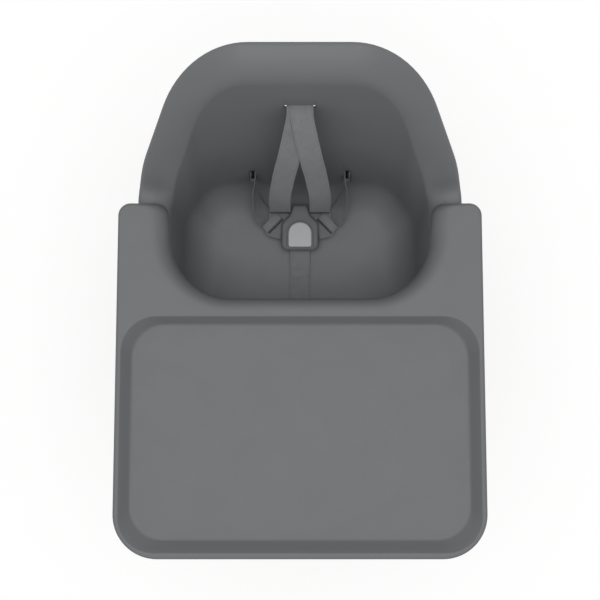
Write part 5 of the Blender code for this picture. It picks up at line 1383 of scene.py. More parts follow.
class HIGHCHAIR_OT_waist_straps(Operator):
    """Weaves the two waist straps, which leave their slots on edge and turn flat to the tongues"""

    bl_idname = "high_chair.waist_straps"
    bl_label = "Waist straps"

    def execute(self, context):
        h = sizes().harness
        b = sizes().buckle
        # The route's stations as shares of the way from slot to buckle: sideways, forwards, down
        route_shares = [(-0.07, 0.33, 0.10), (-0.02, 0.53, 0.34), (0.15, 0.70, 0.65), (0.42, 0.84, 0.91)]
        up = wall_plane()[1]
        outwards = Vector((0, up.z, -up.y))
        tail = sizes().seat.wall + h.tail / 2
        for side, sign in SIDES:
            bar = waist_bar_centre(sign * h.waist_slot_x)
            start = bar_loop(bar, outwards, (-sign, 0, 0), bar_loop_radius(h.bar), tail)
            eye = Vector((sign * b.waist_eye[0], b.waist_eye[1], tongue_middle()))
            bar_way, away = waist_eye_ways(sign)
            radius = bar_loop_radius(hypot(b.tongue_bar, b.tongue / 2))
            end = bar_loop(eye, -away, (0, 0, -1), radius, h.tail / 2)
            way = end[0] - start[0]
            route = [start[0] - outwards * tail]
            for across, forward, down in route_shares:
                route.append(start[0] + Vector((way.x * across, way.y * forward, way.z * down)))
            # It passes under the shoulder strap's loop on its way to the eye
            route.append(end[0] + away * h.tail * 0.6 - Vector((0, 0, 3 * MM)))
            name = f"waist_strap_{side}"
            points, sides = full_strap(name, start, route, end, up, bar_way)
            at = path_length(points) - 2.5 * MM
            stitches(f"waist_seam_{side}", seam_places(points, sides, at, 1))
        return {"FINISHED"}


class HIGHCHAIR_OT_crotch_strap(Operator):
    """Weaves the crotch strap: up through the pan, along it to the buckle and back on itself"""

    bl_idname = "high_chair.crotch_strap"
    bl_label = "Crotch strap"

    def execute(self, context):
        h = sizes().harness
        b = sizes().buckle
        s = sizes().seat
        # The sewn end's stations: shares of its length along and of the buckle's height up
        fold_shares = [(0.11, 1.0), (0.29, 0.6), (0.545, 0.0), (0.76, 0.0), (1.0, 0.0)]
        start = bar_loop(crotch_bar_centre(), (0, 0, -1), (0, 1, 0), bar_loop_radius(h.bar), s.wall + GAP)
        bar = Vector((0, b.bar_y, buckle_bar_height()))
        end = bar_loop(bar, (0, 1, 0), (0, 0, -1), buckle_loop_radius(), MM)[:-3]
        lying = strap_rest_height()
        bend = h.bend
        rise = start[0].y
        route = [
            Vector((0, rise, s.pan - bend)), Vector((0, rise + bend / 4, s.pan - bend / 4)),
            Vector((0, rise + bend, lying)),
        ]
        for i in range(3):
            route.append(Vector((0, blend(rise + bend, b.bar_y, (i + 1) / 4), lying)))
        top = end[-1].z
        folded = lying + h.thickness + GAP
        back = [Vector((0, b.bar_y - h.fold * along, blend(folded, top, up))) for along, up in fold_shares]
        main = smooth_curve([start[0], *route, end[0]], 8)[1:-1]
        points = [*reversed(start), *main, *end, *smooth_curve([end[-1], *back], 8)[1:]]
        sides = [ACROSS] * len(points)
        webbing("crotch_strap", points, sides)
        places = []
        for from_end in (2.2 * MM, 13 * MM):
            places += seam_places(points, sides, path_length(points) - from_end, 1)
        stitches("crotch_seam", places)
        return {"FINISHED"}


# Buckle
def buckle_outline(margin):
    b = sizes().buckle
    corners = [
        (0, b.front_y), (b.half_width, b.front_y), (b.half_width, b.shoulder_y),
        (b.head_half, b.head_y), (b.neck_half, b.neck_y), (0, b.neck_y),
    ]
    radius = b.edge * 2
    radii = [0, radius * 1.3, radius, b.edge, b.edge, 0]
    return full_outline(inset(corners, [margin] * 5), radii, [0, 8, 8, 4, 4, 0], [2] * 5)


def button_outline(margin):
    """An arch: straight sides, a round rear end and small front corners."""
    b = sizes().buckle
    half = b.button_half + margin
    front = b.button_front - margin
    rear = b.button_rear + margin
    corners = [(0, front), (half, front), (half, rear), (0, rear)]
    return full_outline(corners, [0, b.edge, half, 0], [0, 6, 18, 0], [2, 3, 2])


def buckle_housing():
    b = sizes().buckle
    top = buckle_top()
    bottom = buckle_bottom()
    housing = domed("buckle_housing", buckle_outline, bottom, top, b.edge, 7)
    # A raised border keeps fingers from pressing the button by accident
    border = 2.3 * MM
    proud = 0.8 * MM
    ring = domed(
        "button_border", lambda margin: button_outline(border - margin), top - b.skin / 2, top + proud,
        0.7 * MM, 4,
    )
    fuse(housing, ring)
    low = bottom - MM
    arris = 0.5 * MM
    levels = [(low, 0), (top + proud - arris, 0)]
    levels += [(top + proud - arris * (1 - s), arris * (1 - c)) for s, c in quarter(4)[1:]]
    levels.append((top + proud + MM, arris))
    cut(housing, loft("button_hole", [flat_loop(button_outline(GAP + wide), z) for z, wide in levels]))
    cut(housing, prism("button_room", button_outline(b.flange + GAP), low, top - b.skin))
    level = tongue_middle()
    reach = b.tongue / 2 + GAP
    h = sizes().harness
    front = b.blade_y - h.width / 2 * 0.9
    slot_low = (-2 * b.half_width, front, level - reach)
    slot_high = (2 * b.half_width, b.neck_y + MM, level + reach)
    cut(housing, block("tongue_slot", slot_low, slot_high))
    half = h.width / 2 + GAP * 2
    channel_low = (-half, b.front_y - MM, low)
    channel_high = (half, b.button_front + MM, bottom + h.thickness + GAP * 4)
    cut(housing, block("strap_channel", channel_low, channel_high))
    finish(housing, "acetal_satin", "chair", "buckle_housing", 40)


def buckle_back():
    """The plate under the housing, with the crotch strap's bar and a pad that rests on the pan."""
    b = sizes().buckle
    h = sizes().harness
    top = buckle_bottom() - GAP
    bottom = top - b.back
    low = bottom - MM
    high = top + MM
    back = prism("buckle_back", buckle_outline(GAP * 3), bottom, top)
    soften(back, 0.4 * MM, 2)
    half = b.half_width * 2
    cut(back, block("back_front_cut", (-half, b.front_y - MM, low), (half, b.bar_y - b.bar_half, high)))
    cut(back, block("back_neck_cut", (-half, b.head_y, low), (half, b.neck_y + MM, high)))
    half = h.width / 2 + GAP
    rear = b.bar_y + b.eye
    cut(back, block("back_eye", (-half, b.bar_y + b.bar_half, low), (half, rear, high)))
    pad_low = (-b.head_half, rear + b.edge, sizes().seat.pan + GAP)
    pad_high = (b.head_half, b.shoulder_y, bottom + b.back / 2)
    fuse(back, rounded_block("back_pad", pad_low, pad_high, b.edge))
    finish(back, "acetal_satin", "chair", "buckle_back", 40)


def button_floor():
    """The underside of the button's flange at rest."""
    b = sizes().buckle
    return buckle_top() - b.skin - GAP - b.flange_thickness


def buckle_button():
    """An arch-shaped cap with a soft edge, over a flange that holds it in the housing."""
    b = sizes().buckle
    floor = button_floor()
    flange = floor + b.flange_thickness
    top = buckle_top() + b.button_proud
    edge = 1.6 * MM
    loops = [
        flat_loop(button_outline(b.flange), floor), flat_loop(button_outline(b.flange), flange),
        flat_loop(button_outline(0), flange),
    ]
    for sine, cosine in quarter(7):
        loops.append(flat_loop(button_outline(-edge * (1 - cosine)), top - edge + edge * sine))
    # The cap sinks a little towards its middle, where the thumb rests
    dip = 0.5 * MM
    for share in (0.25, 0.5, 0.75, 1.0):
        margin = -edge - (b.button_half - edge) * 0.7 * share
        loops.append(flat_loop(button_outline(margin), top - dip * smooth_step(share)))
    button = loft("buckle_button", loops)
    finish(button, "acetal_button", "button", "buckle_button", 40)


def buckle_tongue(side, sign):
    """A plate with a blade for the housing and an eye for each of its two straps."""
    b = sizes().buckle
    half = sizes().harness.width / 2
    inner = b.tongue_inner
    blade_rear = b.blade_y + half + GAP + b.rim
    wing_front = b.blade_y - half - GAP - b.rim
    across, away = waist_eye_ways(1)
    bar = Vector((*b.waist_eye, 0))
    far = across * (half + GAP + b.rim)
    outer = bar + away * b.tongue_bar + far
    inner_end = bar - away * (b.tongue_bar + b.eye + b.rim) + far
    eye_outer = b.shoulder_x + half + GAP
    eye_inner = b.shoulder_x - half - GAP
    bar_rear = b.shoulder_bar_y + b.tongue_bar
    bar_front = b.shoulder_bar_y - b.tongue_bar
    eye_front = bar_front - b.eye * 0.8
    blade_front = b.blade_y - half * 0.7
    web = eye_outer + b.rim
    corners = [
        (inner, blade_front), (b.half_width + GAP * 2, blade_front),
        (b.half_width + GAP * 2, wing_front), (inner_end.x, inner_end.y), (outer.x, outer.y),
        (web, outer.y + outer.x - web), (web, bar_rear), (eye_inner - b.rim, bar_rear),
        (eye_inner - b.rim, eye_front), (inner, blade_rear),
    ]
    corners = [Vector((sign * x, y)) for x, y in corners]
    radii = [1.2, 0.3, 0.8, 2.2, 2.0, 1.2, 1.4, 1.4, 1.4, 1.2]
    outline = []
    for i, corner in enumerate(corners):
        before = corners[i - 1]
        after = corners[(i + 1) % len(corners)]
        turn = (corner - before).angle(after - corner)
        room = 0.45 * min((corner - before).length, (after - corner).length)
        outline += corner_arc(before, corner, after, min(radii[i] * MM * tan(turn / 2), room), 4)
    low = tongue_middle() - b.tongue / 2
    tongue = prism(f"buckle_tongue_{side}", outline, low, low + b.tongue)
    soften(tongue, 0.45 * MM, 3, 30)
    left, right = sorted((sign * eye_inner, sign * eye_outer))
    hole_low = (left, eye_front, low - MM)
    hole_high = (right, bar_front, low + b.tongue + MM)
    cut(tongue, rounded_block(f"shoulder_eye_{side}", hole_low, hole_high, 0.8 * MM, 4))
    hole = rounded_block(
        f"waist_eye_{side}", (-half - GAP, -b.eye / 2, -b.tongue), (half + GAP, b.eye / 2, b.tongue),
        0.8 * MM, 4,
    )
    across, away = waist_eye_ways(sign)
    bar = Vector((sign * b.waist_eye[0], b.waist_eye[1], tongue_middle()))
    middle = bar - away * (b.tongue_bar + b.eye / 2)
    cut(tongue, place(hole, axis_frame(middle, (0, 0, 1), across)))
    finish(tongue, "acetal_satin", "chair", f"buckle_tongue_{side}", 40)


def spring(name, start, end, radius, wire, turns, side, body):
    """A compression spring from start to end, with its last turns lying close."""
    frame = axis_frame(start, end - start, side)
    height = (end - start).length
    count = turns * 18
    curve = bpy.data.curves.new(name, "CURVE")
    curve.dimensions = "3D"
    curve.bevel_depth = wire
    curve.bevel_resolution = 2
    curve.use_fill_caps = True
    line = curve.splines.new("POLY")
    line.points.add(count)
    closed = 0.75 / turns
    for i in range(count + 1):
        share = i / count
        # The closed turns at both ends climb by one wire only
        lie = 2.3 * wire / height
        if share < closed:
            level = lie * share / closed
        elif share > 1 - closed:
            level = 1 - lie * (1 - share) / closed
        else:
            level = blend(lie, 1 - lie, (share - closed) / (1 - 2 * closed))
        angle = 2 * pi * turns * share
        point = frame @ Vector((radius * cos(angle), radius * sin(angle), level * height))
        line.points[i].co = (*point, 1)
    pick(linked(name, curve))
    bpy.ops.object.convert(target="MESH")
    coil = named(name)
    outwards(coil)
    finish(coil, "zinc_plated_steel", body, name, 50)
    return coil


class HIGHCHAIR_OT_buckle(Operator):
    """Moulds the buckle: housing, back, button, tongues and the button's spring"""

    bl_idname = "high_chair.buckle"
    bl_label = "Buckle"

    def execute(self, context):
        b = sizes().buckle
        buckle_housing()
        buckle_back()
        buckle_button()
        for side, sign in SIDES:
            buckle_tongue(side, sign)
        y = (b.button_front + b.button_rear) / 2
        start = Vector((0, y, buckle_bottom() + WIRE))
        end = Vector((0, y, button_floor() - GAP - WIRE))
        coil = spring("button_spring", start, end, 3 * MM, WIRE, 5, (1, 0, 0), "chair")
        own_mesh(coil)
        return {"FINISHED"}


# Tray
def tray_corners():
    t = sizes().tray
    front = -sizes().seat.depth / 2
    return [
        (0, front), (t.front_half, front), (t.rear_half, t.wing_y), (t.wing_inner, t.wing_y),
        (t.cutout_half, t.cutout_y), (0, t.cutout_y),
    ]


def dish_corners():
    """The dish's rim, parallel to the tray's sides."""
    t = sizes().tray
    sides = inset(tray_corners(), [t.front_margin, t.side_margin, 0, 0, 0])
    front = sides[1]
    along = sides[2] - front
    rear = front + along * ((t.dish_rear - front.y) / along.y)
    return [(0, front.y), front, rear, (0, t.dish_rear)]


def skirt_bottom(y):
    """The skirt's lower edge: deep along the tray, and clear of the armrest's lip at the wing's end."""
    t = sizes().tray
    start = t.wing_y - 3 * t.wing_corner
    share = smooth_step((y - start) / (1.5 * t.wing_corner))
    return blend(t.top - t.skirt, sizes().seat.arm + t.wing_clearance, share)


def tray_edge_rings():
    """Loops from the flat top over the rolled edge and down the skirt."""
    t = sizes().tray
    outer = tray_corners()
    flat = inset(outer, [t.edge_roll, t.edge_roll, t.edge_roll, t.wing_roll, t.cutout_roll])
    r = t.wing_corner
    outer_radii = [0, t.corner, r, r, t.cutout_corner, 0]
    flat_radii = [0, t.corner - t.edge_roll, r - t.edge_roll / 2, r / 2, 0, 0]
    flat_radii[4] = t.cutout_corner + (t.wing_roll + t.cutout_roll) / 2
    arcs = [0, steps(6), steps(3), steps(3), steps(7), 0]
    legs = [steps(2), steps(4), steps(1), steps(2), steps(2)]
    outside = full_outline(outer, outer_radii, arcs, legs)
    inside = full_outline(flat, flat_radii, arcs, legs)
    rings = []
    for sine, cosine in quarter(steps(3)):
        ring = []
        for a, b in zip(inside, outside):
            drop = min((b - a).length, t.top - skirt_bottom(b.y) - t.wall)
            ring.append(Vector((*a.lerp(b, sine), t.top - drop * (1 - cosine))))
        rings.append(ring)
    edge = rings[-1]
    for share in (0.5, 1.0):
        ring = [blend(high.z, skirt_bottom(p.y), share) for high, p in zip(edge, outside)]
        rings.append([Vector((*p, z)) for p, z in zip(outside, ring)])
    return rings


def dish_rings():
    """Loops from the dish's flat floor up its sloping side to the flat rim."""
    t = sizes().tray
    rim = dish_corners()
    foot = inset(rim, [t.front_slope, t.side_slope, t.rear_slope])
    floor = inset(foot, [t.foot_fillet] * 3)
    outside = inset(rim, [-t.top_fillet] * 3)
    low = t.top - t.dish_depth
    margins = [-t.top_fillet, 0, t.side_slope, t.side_slope + t.foot_fillet]
    arcs = [0, steps(5), steps(5), 0]
    legs = [steps(2), steps(3), steps(2)]
    outlines = []
    for corners, margin in zip((outside, rim, foot, floor), margins):
        radii = [0, t.dish_front_corner - margin, t.dish_rear_corner - margin, 0]
        outlines.append(full_outline(corners, radii, arcs, legs))
    sections = []
    for a, b, c, d in zip(*outlines):
        path = [(*a, t.top), (*b, t.top), (*c, low), (*d, low)]
        radii = [0, t.top_fillet, t.foot_fillet, 0]
        sections.append(rounded_path(path, radii, [0, 3, steps(2), 0], [1, 2, 1])[1:-1])
    return [list(ring) for ring in zip(*sections)]


def ring_edges(ring):
    return [e for v in ring for e in v.link_edges if e.other_vert(v) in set(ring)]


def tray_ribs(tray):
    """Ribs under the dish, each a thin wall fused to its floor."""
    t = sizes().tray
    top = t.top - t.dish_depth - t.wall / 2
    bottom = top - t.rib_depth
    foot = inset(dish_corners(), [t.front_slope, t.side_slope, t.rear_slope])
    half_width = foot[2].x - t.side_slope
    front = foot[0].y + t.front_slope
    rear = foot[-1].y - t.rear_slope
    half = t.rib / 2
    ribs = []
    for i in range(3):
        y = blend(front, rear, (i + 1) / 4)
        ribs.append(block(f"cross_rib_{i}", (-half_width, y - half, bottom), (half_width, y + half, top)))
    for i in range(4):
        x = blend(-half_width, half_width, (i + 0.5) / 4)
        ribs.append(block(f"long_rib_{i}", (x - half, front, bottom), (x + half, rear, top)))
    for rib in ribs:
        soften(rib, 0.5 * MM, 2)
    fuse(tray, *ribs)


def rail_bottom():
    return sizes().seat.arm + GAP


def rail_top():
    return rail_bottom() + sizes().tray.rail_height


def rail_web_inner():
    return sizes().seat.half_width + 2 * GAP


def rail_web_outer():
    return rail_web_inner() + sizes().tray.rail_web


def rail_screw_x():
    return (sizes().tray.rail_inner + sizes().seat.half_width) / 2


def rail_screw_places():
    t = sizes().tray
    inset_ = 8 * MM
    return [t.rail_front + inset_, t.rail_front + t.rail_length - inset_]


def rail_middle():
    return sizes().tray.rail_front + sizes().tray.rail_length / 2


def guide_level():
    """The middle height of the latch's guide inside its runner."""
    return rail_bottom() + sizes().tray.rail_height / 2


class HIGHCHAIR_OT_tray(Operator):
    """Moulds the tray: dish, rim, wings, skirt, ribs and bosses"""

    bl_idname = "high_chair.tray"
    bl_label = "Tray"

    def execute(self, context):
        t = sizes().tray
        bm = bmesh.new()
        dish = add_rings(bm, dish_rings())
        edge = add_rings(bm, tray_edge_rings())
        bm.faces.new(dish[-1])
        border = list(dict.fromkeys(ring_edges(dish[0]) + ring_edges(edge[0])))
        bmesh.ops.triangle_fill(bm, use_beauty=True, use_dissolve=False, edges=border)
        tray = moulded_wall("tray_top", bm, t.wall)
        # The skirt's lower edge is eased, as a mould leaves it
        edit(tray, "EDGE")
        choose(
            tray,
            "edges",
            lambda e: all(v.co.z < skirt_bottom(v.co.y) + t.wall / 4 for v in e.verts)
            and e.calc_face_angle(0) > radians(60),
        )
        bpy.ops.mesh.bevel(offset=0.9 * MM, segments=3, affect="EDGES", clamp_overlap=True)
        done()
        tray_ribs(tray)
        for _, sign in SIDES:
            for y in rail_screw_places():
                frame_ = shift(sign * rail_screw_x(), y)
                boss = arc_profile(t.boss_radius, rail_top() + GAP, 0.5 * MM, -1, 3)
                boss.append((t.boss_radius, t.top - t.wall / 2))
                fuse(tray, place(turned("tray_boss", boss), frame_))
                thread = 1.8 * MM
                tip = rail_top() + 6 * MM
                bore = [(thread, rail_top() - MM), (thread, tip), (0.5 * MM, tip + MM)]
                cut(tray, place(turned("tray_bore", bore, 24), frame_))
        finish(tray, "moulded_tray_grain", "tray", "tray_top", 35)
        return {"FINISHED"}


# Screws and bolts
def cross_head_screw(name, head_radius, head, radius, shank):
    """A pan-head screw from its head down: a crowned head with a cross recess, and a threaded shank."""
    profile = []
    for i in range(6):
        turn = pi / 2 * (1 - i / 5)
        profile.append((max(head_radius * cos(turn), head_radius * 0.05), -head * (0.35 + 0.65 * sin(turn))))
    profile += [(head_radius, -head * 0.12), (head_radius * 0.97, 0), (radius, 0)]
    pitch = radius * 0.6
    z = pitch * 0.6
    while z + pitch < shank - radius:
        profile += [(radius * 0.80, z), (radius, z + pitch / 2)]
        z += pitch
    profile += [(radius * 0.80, shank - radius), (radius * 0.12, shank)]
    obj = turned(name, profile, 28)
    for turn in (0, pi / 2):
        half = head_radius * 0.52
        width = head_radius * 0.13
        low = (-half, -width, -head * 1.1)
        high = (half, width, -head * 0.42)
        arm = place(block("recess", low, high), Matrix.Rotation(turn + pi / 4, 4, "Z"))
        cut(obj, arm)
    return obj


def seat_screws(first, names, frames, body):
    """Copies of one screw in their places, each standing for its own node."""
    for name, frame_ in zip(names, frames):
        obj = copy_of(first, name, frame_)
        finish(obj, "zinc_plated_steel", body, name, 35)
    bpy.data.objects.remove(first, do_unlink=True)


def guide_block(name, sign, outer, room):
    """The tongue that guides a latch in its runner, or its slot where there is room round it."""
    inner = rail_web_outer() - 10 * MM - room
    half = 6 * MM + room
    reach = 2 * MM + room
    x0, x1 = sorted((sign * inner, sign * outer))
    low = (x0, rail_middle() - half, guide_level() - reach)
    return block(name, low, (x1, rail_middle() + half, guide_level() + reach))


def runner(side, sign):
    """A runner screwed under a wing: it rides on the armrest's lip and down its outer edge."""
    t = sizes().tray
    low = rail_bottom()
    section = [
        (sign * t.rail_inner, low), (sign * rail_web_inner(), low),
        (sign * rail_web_inner(), low - t.rail_drop), (sign * rail_web_outer(), low - t.rail_drop),
        (sign * rail_web_outer(), rail_top()), (sign * t.rail_inner, rail_top()),
    ]
    rail = side_prism(f"wing_rail_{side}", section, t.rail_front, t.rail_front + t.rail_length)
    soften(rail, 0.6 * MM, 3)
    cut(rail, guide_block(f"rail_slot_{side}", sign, rail_web_outer() + MM, GAP))
    for y in rail_screw_places():
        head = 3.3 * MM
        thread = 1.8 * MM
        seat = low + 3.1 * MM
        profile = [(head, low - MM), (head, seat), (thread, seat), (thread, rail_top() + MM)]
        cut(rail, place(turned("rail_hole", profile, 28), shift(sign * rail_screw_x(), y)))
    finish(rail, "glass_filled_nylon", "tray", f"wing_rail_{side}", 35)


def latch(side, sign):
    """A hook under the lip's edge on a plate with a finger tab, guided by a tongue in the runner."""
    t = sizes().tray
    s = sizes().seat
    inner = rail_web_outer() + GAP
    outer = inner + t.latch
    hook_top = min(s.arm - s.lip_drop, rail_bottom() - t.rail_drop) - 2 * GAP
    hook = 4 * MM
    hook_bottom = hook_top - hook
    tip = s.half_width - 5.5 * MM
    tab = hook_bottom - 20 * MM
    curl = 3 * MM
    top = rail_top() - 2 * MM
    section = [
        (tip, hook_bottom), (inner, hook_bottom), (inner, tab + curl * 2), (inner - curl, tab + curl),
        (inner - curl, tab), (outer, tab), (outer, top), (inner, top), (inner, hook_top),
        (tip + hook / 3, hook_top), (tip, hook_top - hook / 3),
    ]
    section = [(sign * x, z) for x, z in section]
    half = t.latch_length / 2
    plate = side_prism(f"latch_{side}", section, rail_middle() - half, rail_middle() + half)
    soften(plate, 0.6 * MM, 3)
    guide = guide_block(f"latch_guide_{side}", sign, inner + t.latch / 2, 0)
    soften(guide, 0.4 * MM, 2)
    fuse(plate, guide)
    finish(plate, "glass_filled_nylon", f"latch_{side}", f"latch_{side}", 35)
    return outer


def skirt_inside(y):
    """Half the clear width between the skirts at a place along the tray."""
    t = sizes().tray
    front = -sizes().seat.depth / 2
    return blend(t.front_half, t.rear_half, (y - front) / (t.wing_y - front)) - t.wall


class HIGHCHAIR_OT_runners(Operator):
    """Makes the runners under the wings, with their screws, latches and latch springs"""

    bl_idname = "high_chair.runners"
    bl_label = "Runners and latches"

    def execute(self, context):
        low = rail_bottom()
        head = 2.5 * MM
        seat = low + head + GAP
        first = cross_head_screw("rail_screw", 3 * MM, head, 1.5 * MM, rail_top() + 6 * MM - seat - GAP)
        names = []
        frames = []
        for side, sign in SIDES:
            runner(side, sign)
            for end, y in zip(("front", "rear"), rail_screw_places()):
                names.append(f"rail_screw_{end}_{side}")
                frames.append(shift(sign * rail_screw_x(), y, seat))
        seat_screws(first, names, frames, "tray")
        radius = 3.2 * MM
        for side, sign in SIDES:
            outer = latch(side, sign)
            near = outer + GAP + WIRE
            far = skirt_inside(rail_middle() + radius) - 2 * GAP - WIRE
            start = Vector((sign * near, rail_middle(), guide_level()))
            end = Vector((sign * far, rail_middle(), guide_level()))
            coil = spring(f"latch_spring_{side}", start, end, radius, WIRE, 4, (0, 1, 0), "tray")
            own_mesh(coil)
        return {"FINISHED"}


# Seat base, legs and footrest
def rounded_rectangle(half_width, front, rear, radius, spans=10):
    corners = [(0, front), (half_width, front), (half_width, rear), (0, rear)]
    return full_outline(corners, [0, radius, radius, 0], [0, spans, spans, 0], [2, 3, 2])


def base_top():
    s = sizes().seat
    return s.pan - s.wall - s.boss_height - GAP


def leg_lines():
    """Name, top point, foot point of each leg's middle line."""
    g = sizes().legs
    height = base_top() - g.socket_roof
    lines = []
    for side, sign in SIDES:
        for end, top, foot in (("front", g.front_top, g.front_foot), ("rear", g.rear_top, g.rear_foot)):
            high = Vector((sign * top[0], top[1], height))
            lines.append((f"{end}_{side}", high, Vector((sign * foot[0], foot[1], 0))))
    return lines


def leg_frame(top, foot):
    """A frame at the leg's top with Z down along it and X level."""
    down = (foot - top).normalized()
    return axis_frame(top, down, down.cross(Vector((0, 0, 1))))


def cross_frame(top, foot):
    """A frame across a leg at its bolt, with Z level."""
    down = (foot - top).normalized()
    level = down.cross(Vector((0, 0, 1))).normalized()
    inwards = -level if level.x * top.x > 0 else level
    return axis_frame(top + down * sizes().legs.bolt_depth, inwards, down)


def rod(name, radius, low, high, frame_=None, sides=40):
    obj = turned(name, [(radius, low), (radius, high)], sides)
    return place(obj, frame_) if frame_ else obj


class HIGHCHAIR_OT_seat_base(Operator):
    """Moulds the frame under the seat, with a socket for each leg, and drives in its screws"""

    bl_idname = "high_chair.seat_base"
    bl_label = "Seat base"

    def execute(self, context):
        g = sizes().legs
        top = base_top()
        bottom = top - g.base_height
        outer = rounded_rectangle(g.base_half, g.base_front, g.base_rear, g.base_corner)
        base = prism("seat_base", outer, bottom, top)
        soften(base, 1.2 * MM, 3)
        window = (g.window_half, g.window_front, g.window_rear, g.window_corner)
        cut(base, prism("base_window", rounded_rectangle(*window), bottom - MM, top + MM))
        w = g.base_plate
        pocket = prism(
            "base_pocket",
            rounded_rectangle(g.base_half - w, g.base_front + w, g.base_rear - w, g.base_corner - w),
            bottom - MM, top - w,
        )
        half, front, rear, radius = window
        island = prism(
            "base_island", rounded_rectangle(half + w, front - w, rear + w, radius + w),
            bottom - 2 * MM, top,
        )
        cut(pocket, island)
        cut(base, pocket)
        # Tabs of the base's dark plastic reach under the waist slots as a stand-in for shade: they make the
        # slots look dark from above, where there is only shade
        for _, sign in SIDES:
            middle = sign * sizes().harness.waist_slot_x
            low = (middle - g.guard_half, g.base_rear - w, top - w)
            high = (middle + g.guard_half, g.base_rear + g.guard_reach, top - MM / 2)
            fuse(base, rounded_block("slot_guard", low, high, g.guard_half / 2))
        # Each bolt's head and nut lie on a round pad
        pad = 8.5 * MM
        for name, a, b in leg_lines():
            frame_ = leg_frame(a, b)
            outside = g.top_radius + GAP + g.socket_wall
            profile = [(outside, -g.socket_roof * 2), (outside, g.socket_depth - 1.5 * MM)]
            profile += arc_profile(outside, g.socket_depth, 1.5 * MM, 1, 4)[1:]
            fuse(base, place(turned(f"socket_{name}", profile, 56), frame_))
            flat = outside + MM
            ends = arc_profile(pad, -flat, 0.6 * MM, -1, 3) + arc_profile(pad, flat, 0.6 * MM, 1, 3)
            fuse(base, place(turned(f"bolt_flats_{name}", ends, 32), cross_frame(a, b)))
        above_low = (-g.base_half * 2, g.base_front * 2, top)
        above_high = (g.base_half * 2, g.base_rear * 2, top + g.socket_roof * 4)
        cut(base, block("base_top_cut", above_low, above_high))
        for name, a, b in leg_lines():
            bore = g.top_radius + GAP
            deep = g.socket_depth
            profile = [(bore, -GAP), (bore, deep - MM), (bore + 1.2 * MM, deep + 2 * MM)]
            cut(base, place(turned(f"socket_bore_{name}", profile, 56), leg_frame(a, b)))
            reach = g.top_radius + g.socket_wall + pad
            cut(base, rod(f"bolt_hole_{name}", g.bolt + GAP, -reach, reach, cross_frame(a, b), 28))
        for x, y in boss_places():
            hole = rod("base_hole", SCREW_ROOM, top - w - MM, top + MM, sides=24)
            cut(base, place(hole, shift(x, y)))
        finish(base, "glass_filled_nylon", "chair", "seat_base", 35)

        seat = top - w - GAP
        first = cross_head_screw("base_screw", 4.2 * MM, 3 * MM, 2 * MM, w + 7 * MM)
        names = [f"base_screw_{end}_{side}" for side, _ in SIDES for end in ("front", "rear")]
        frames = [shift(x, y, seat) for x, y in boss_places()]
        seat_screws(first, names, frames, "chair")
        return {"FINISHED"}


def leg_length(top, foot):
    """From the leg's top to the floor of its cap."""
    return (foot - top).length - sizes().legs.cap_floor


def leg_radius(top, foot, along):
    """The radius of the taper at a distance from the top."""
    g = sizes().legs
    start = g.socket_depth + g.bead * 2
    share = (along - start) / (leg_length(top, foot) - start)
    return blend(g.top_radius + g.bead, g.foot_radius, share)


def keep_grain(obj, frame_):
    """Stores each vertex's place in the wood, whose grain runs along Z of the frame."""
    back = frame_.inverted()
    grain = obj.data.attributes.new("grain", "FLOAT_VECTOR", "POINT")
    for i, v in enumerate(obj.data.vertices):
        grain.data[i].vector = back @ v.co
    return obj


class HIGHCHAIR_OT_legs(Operator):
    """Turns the four beech legs and adds their cross bolts, cap nuts and rubber feet"""

    bl_idname = "high_chair.legs"
    bl_label = "Legs"

    def execute(self, context):
        for i, (name, a, b) in enumerate(leg_lines()):
            wooden_leg(name, a, b, i)
            foot_cap(name, a, b)
        leg_bolts()
        return {"FINISHED"}


def wooden_leg(name, top, foot, index):
    """A turned leg: a straight tenon, a soft shoulder under the socket and a long taper."""
    g = sizes().legs
    end = leg_length(top, foot)
    shoulder = g.socket_depth + GAP
    full = g.top_radius + g.bead
    profile = arc_profile(g.top_radius, 0, MM, -1, 3)
    profile += [(g.top_radius, shoulder)]
    bead = g.bead * 0.8
    profile += [(full - bead * (1 - s), shoulder + bead * (1 - c)) for s, c in quarter(6)]
    taper = g.socket_depth + g.bead * 2
    for i in range(9):
        along = blend(taper, end - 1.5 * MM, i / 8)
        profile.append((leg_radius(top, foot, along), along))
    profile += arc_profile(g.foot_radius, end, 1.5 * MM, 1, 3)[1:]
    frame_ = leg_frame(top, foot)
    leg = place(turned(f"leg_{name}", profile, 56), frame_)
    reach = g.top_radius + g.socket_wall
    cut(leg, rod(f"leg_hole_{name}", g.bolt + GAP, -reach, reach, cross_frame(top, foot), 28))
    # Each leg is cut from its own stick, so its grain starts at another place and turn
    turn = Matrix.Rotation(index * 1.9, 4, "Z")
    keep_grain(leg, frame_ @ turn @ shift(0.011 * index, 0.2 * index, 0.37 * index))
    finish(leg, "beech", "chair", f"leg_{name}", 30)


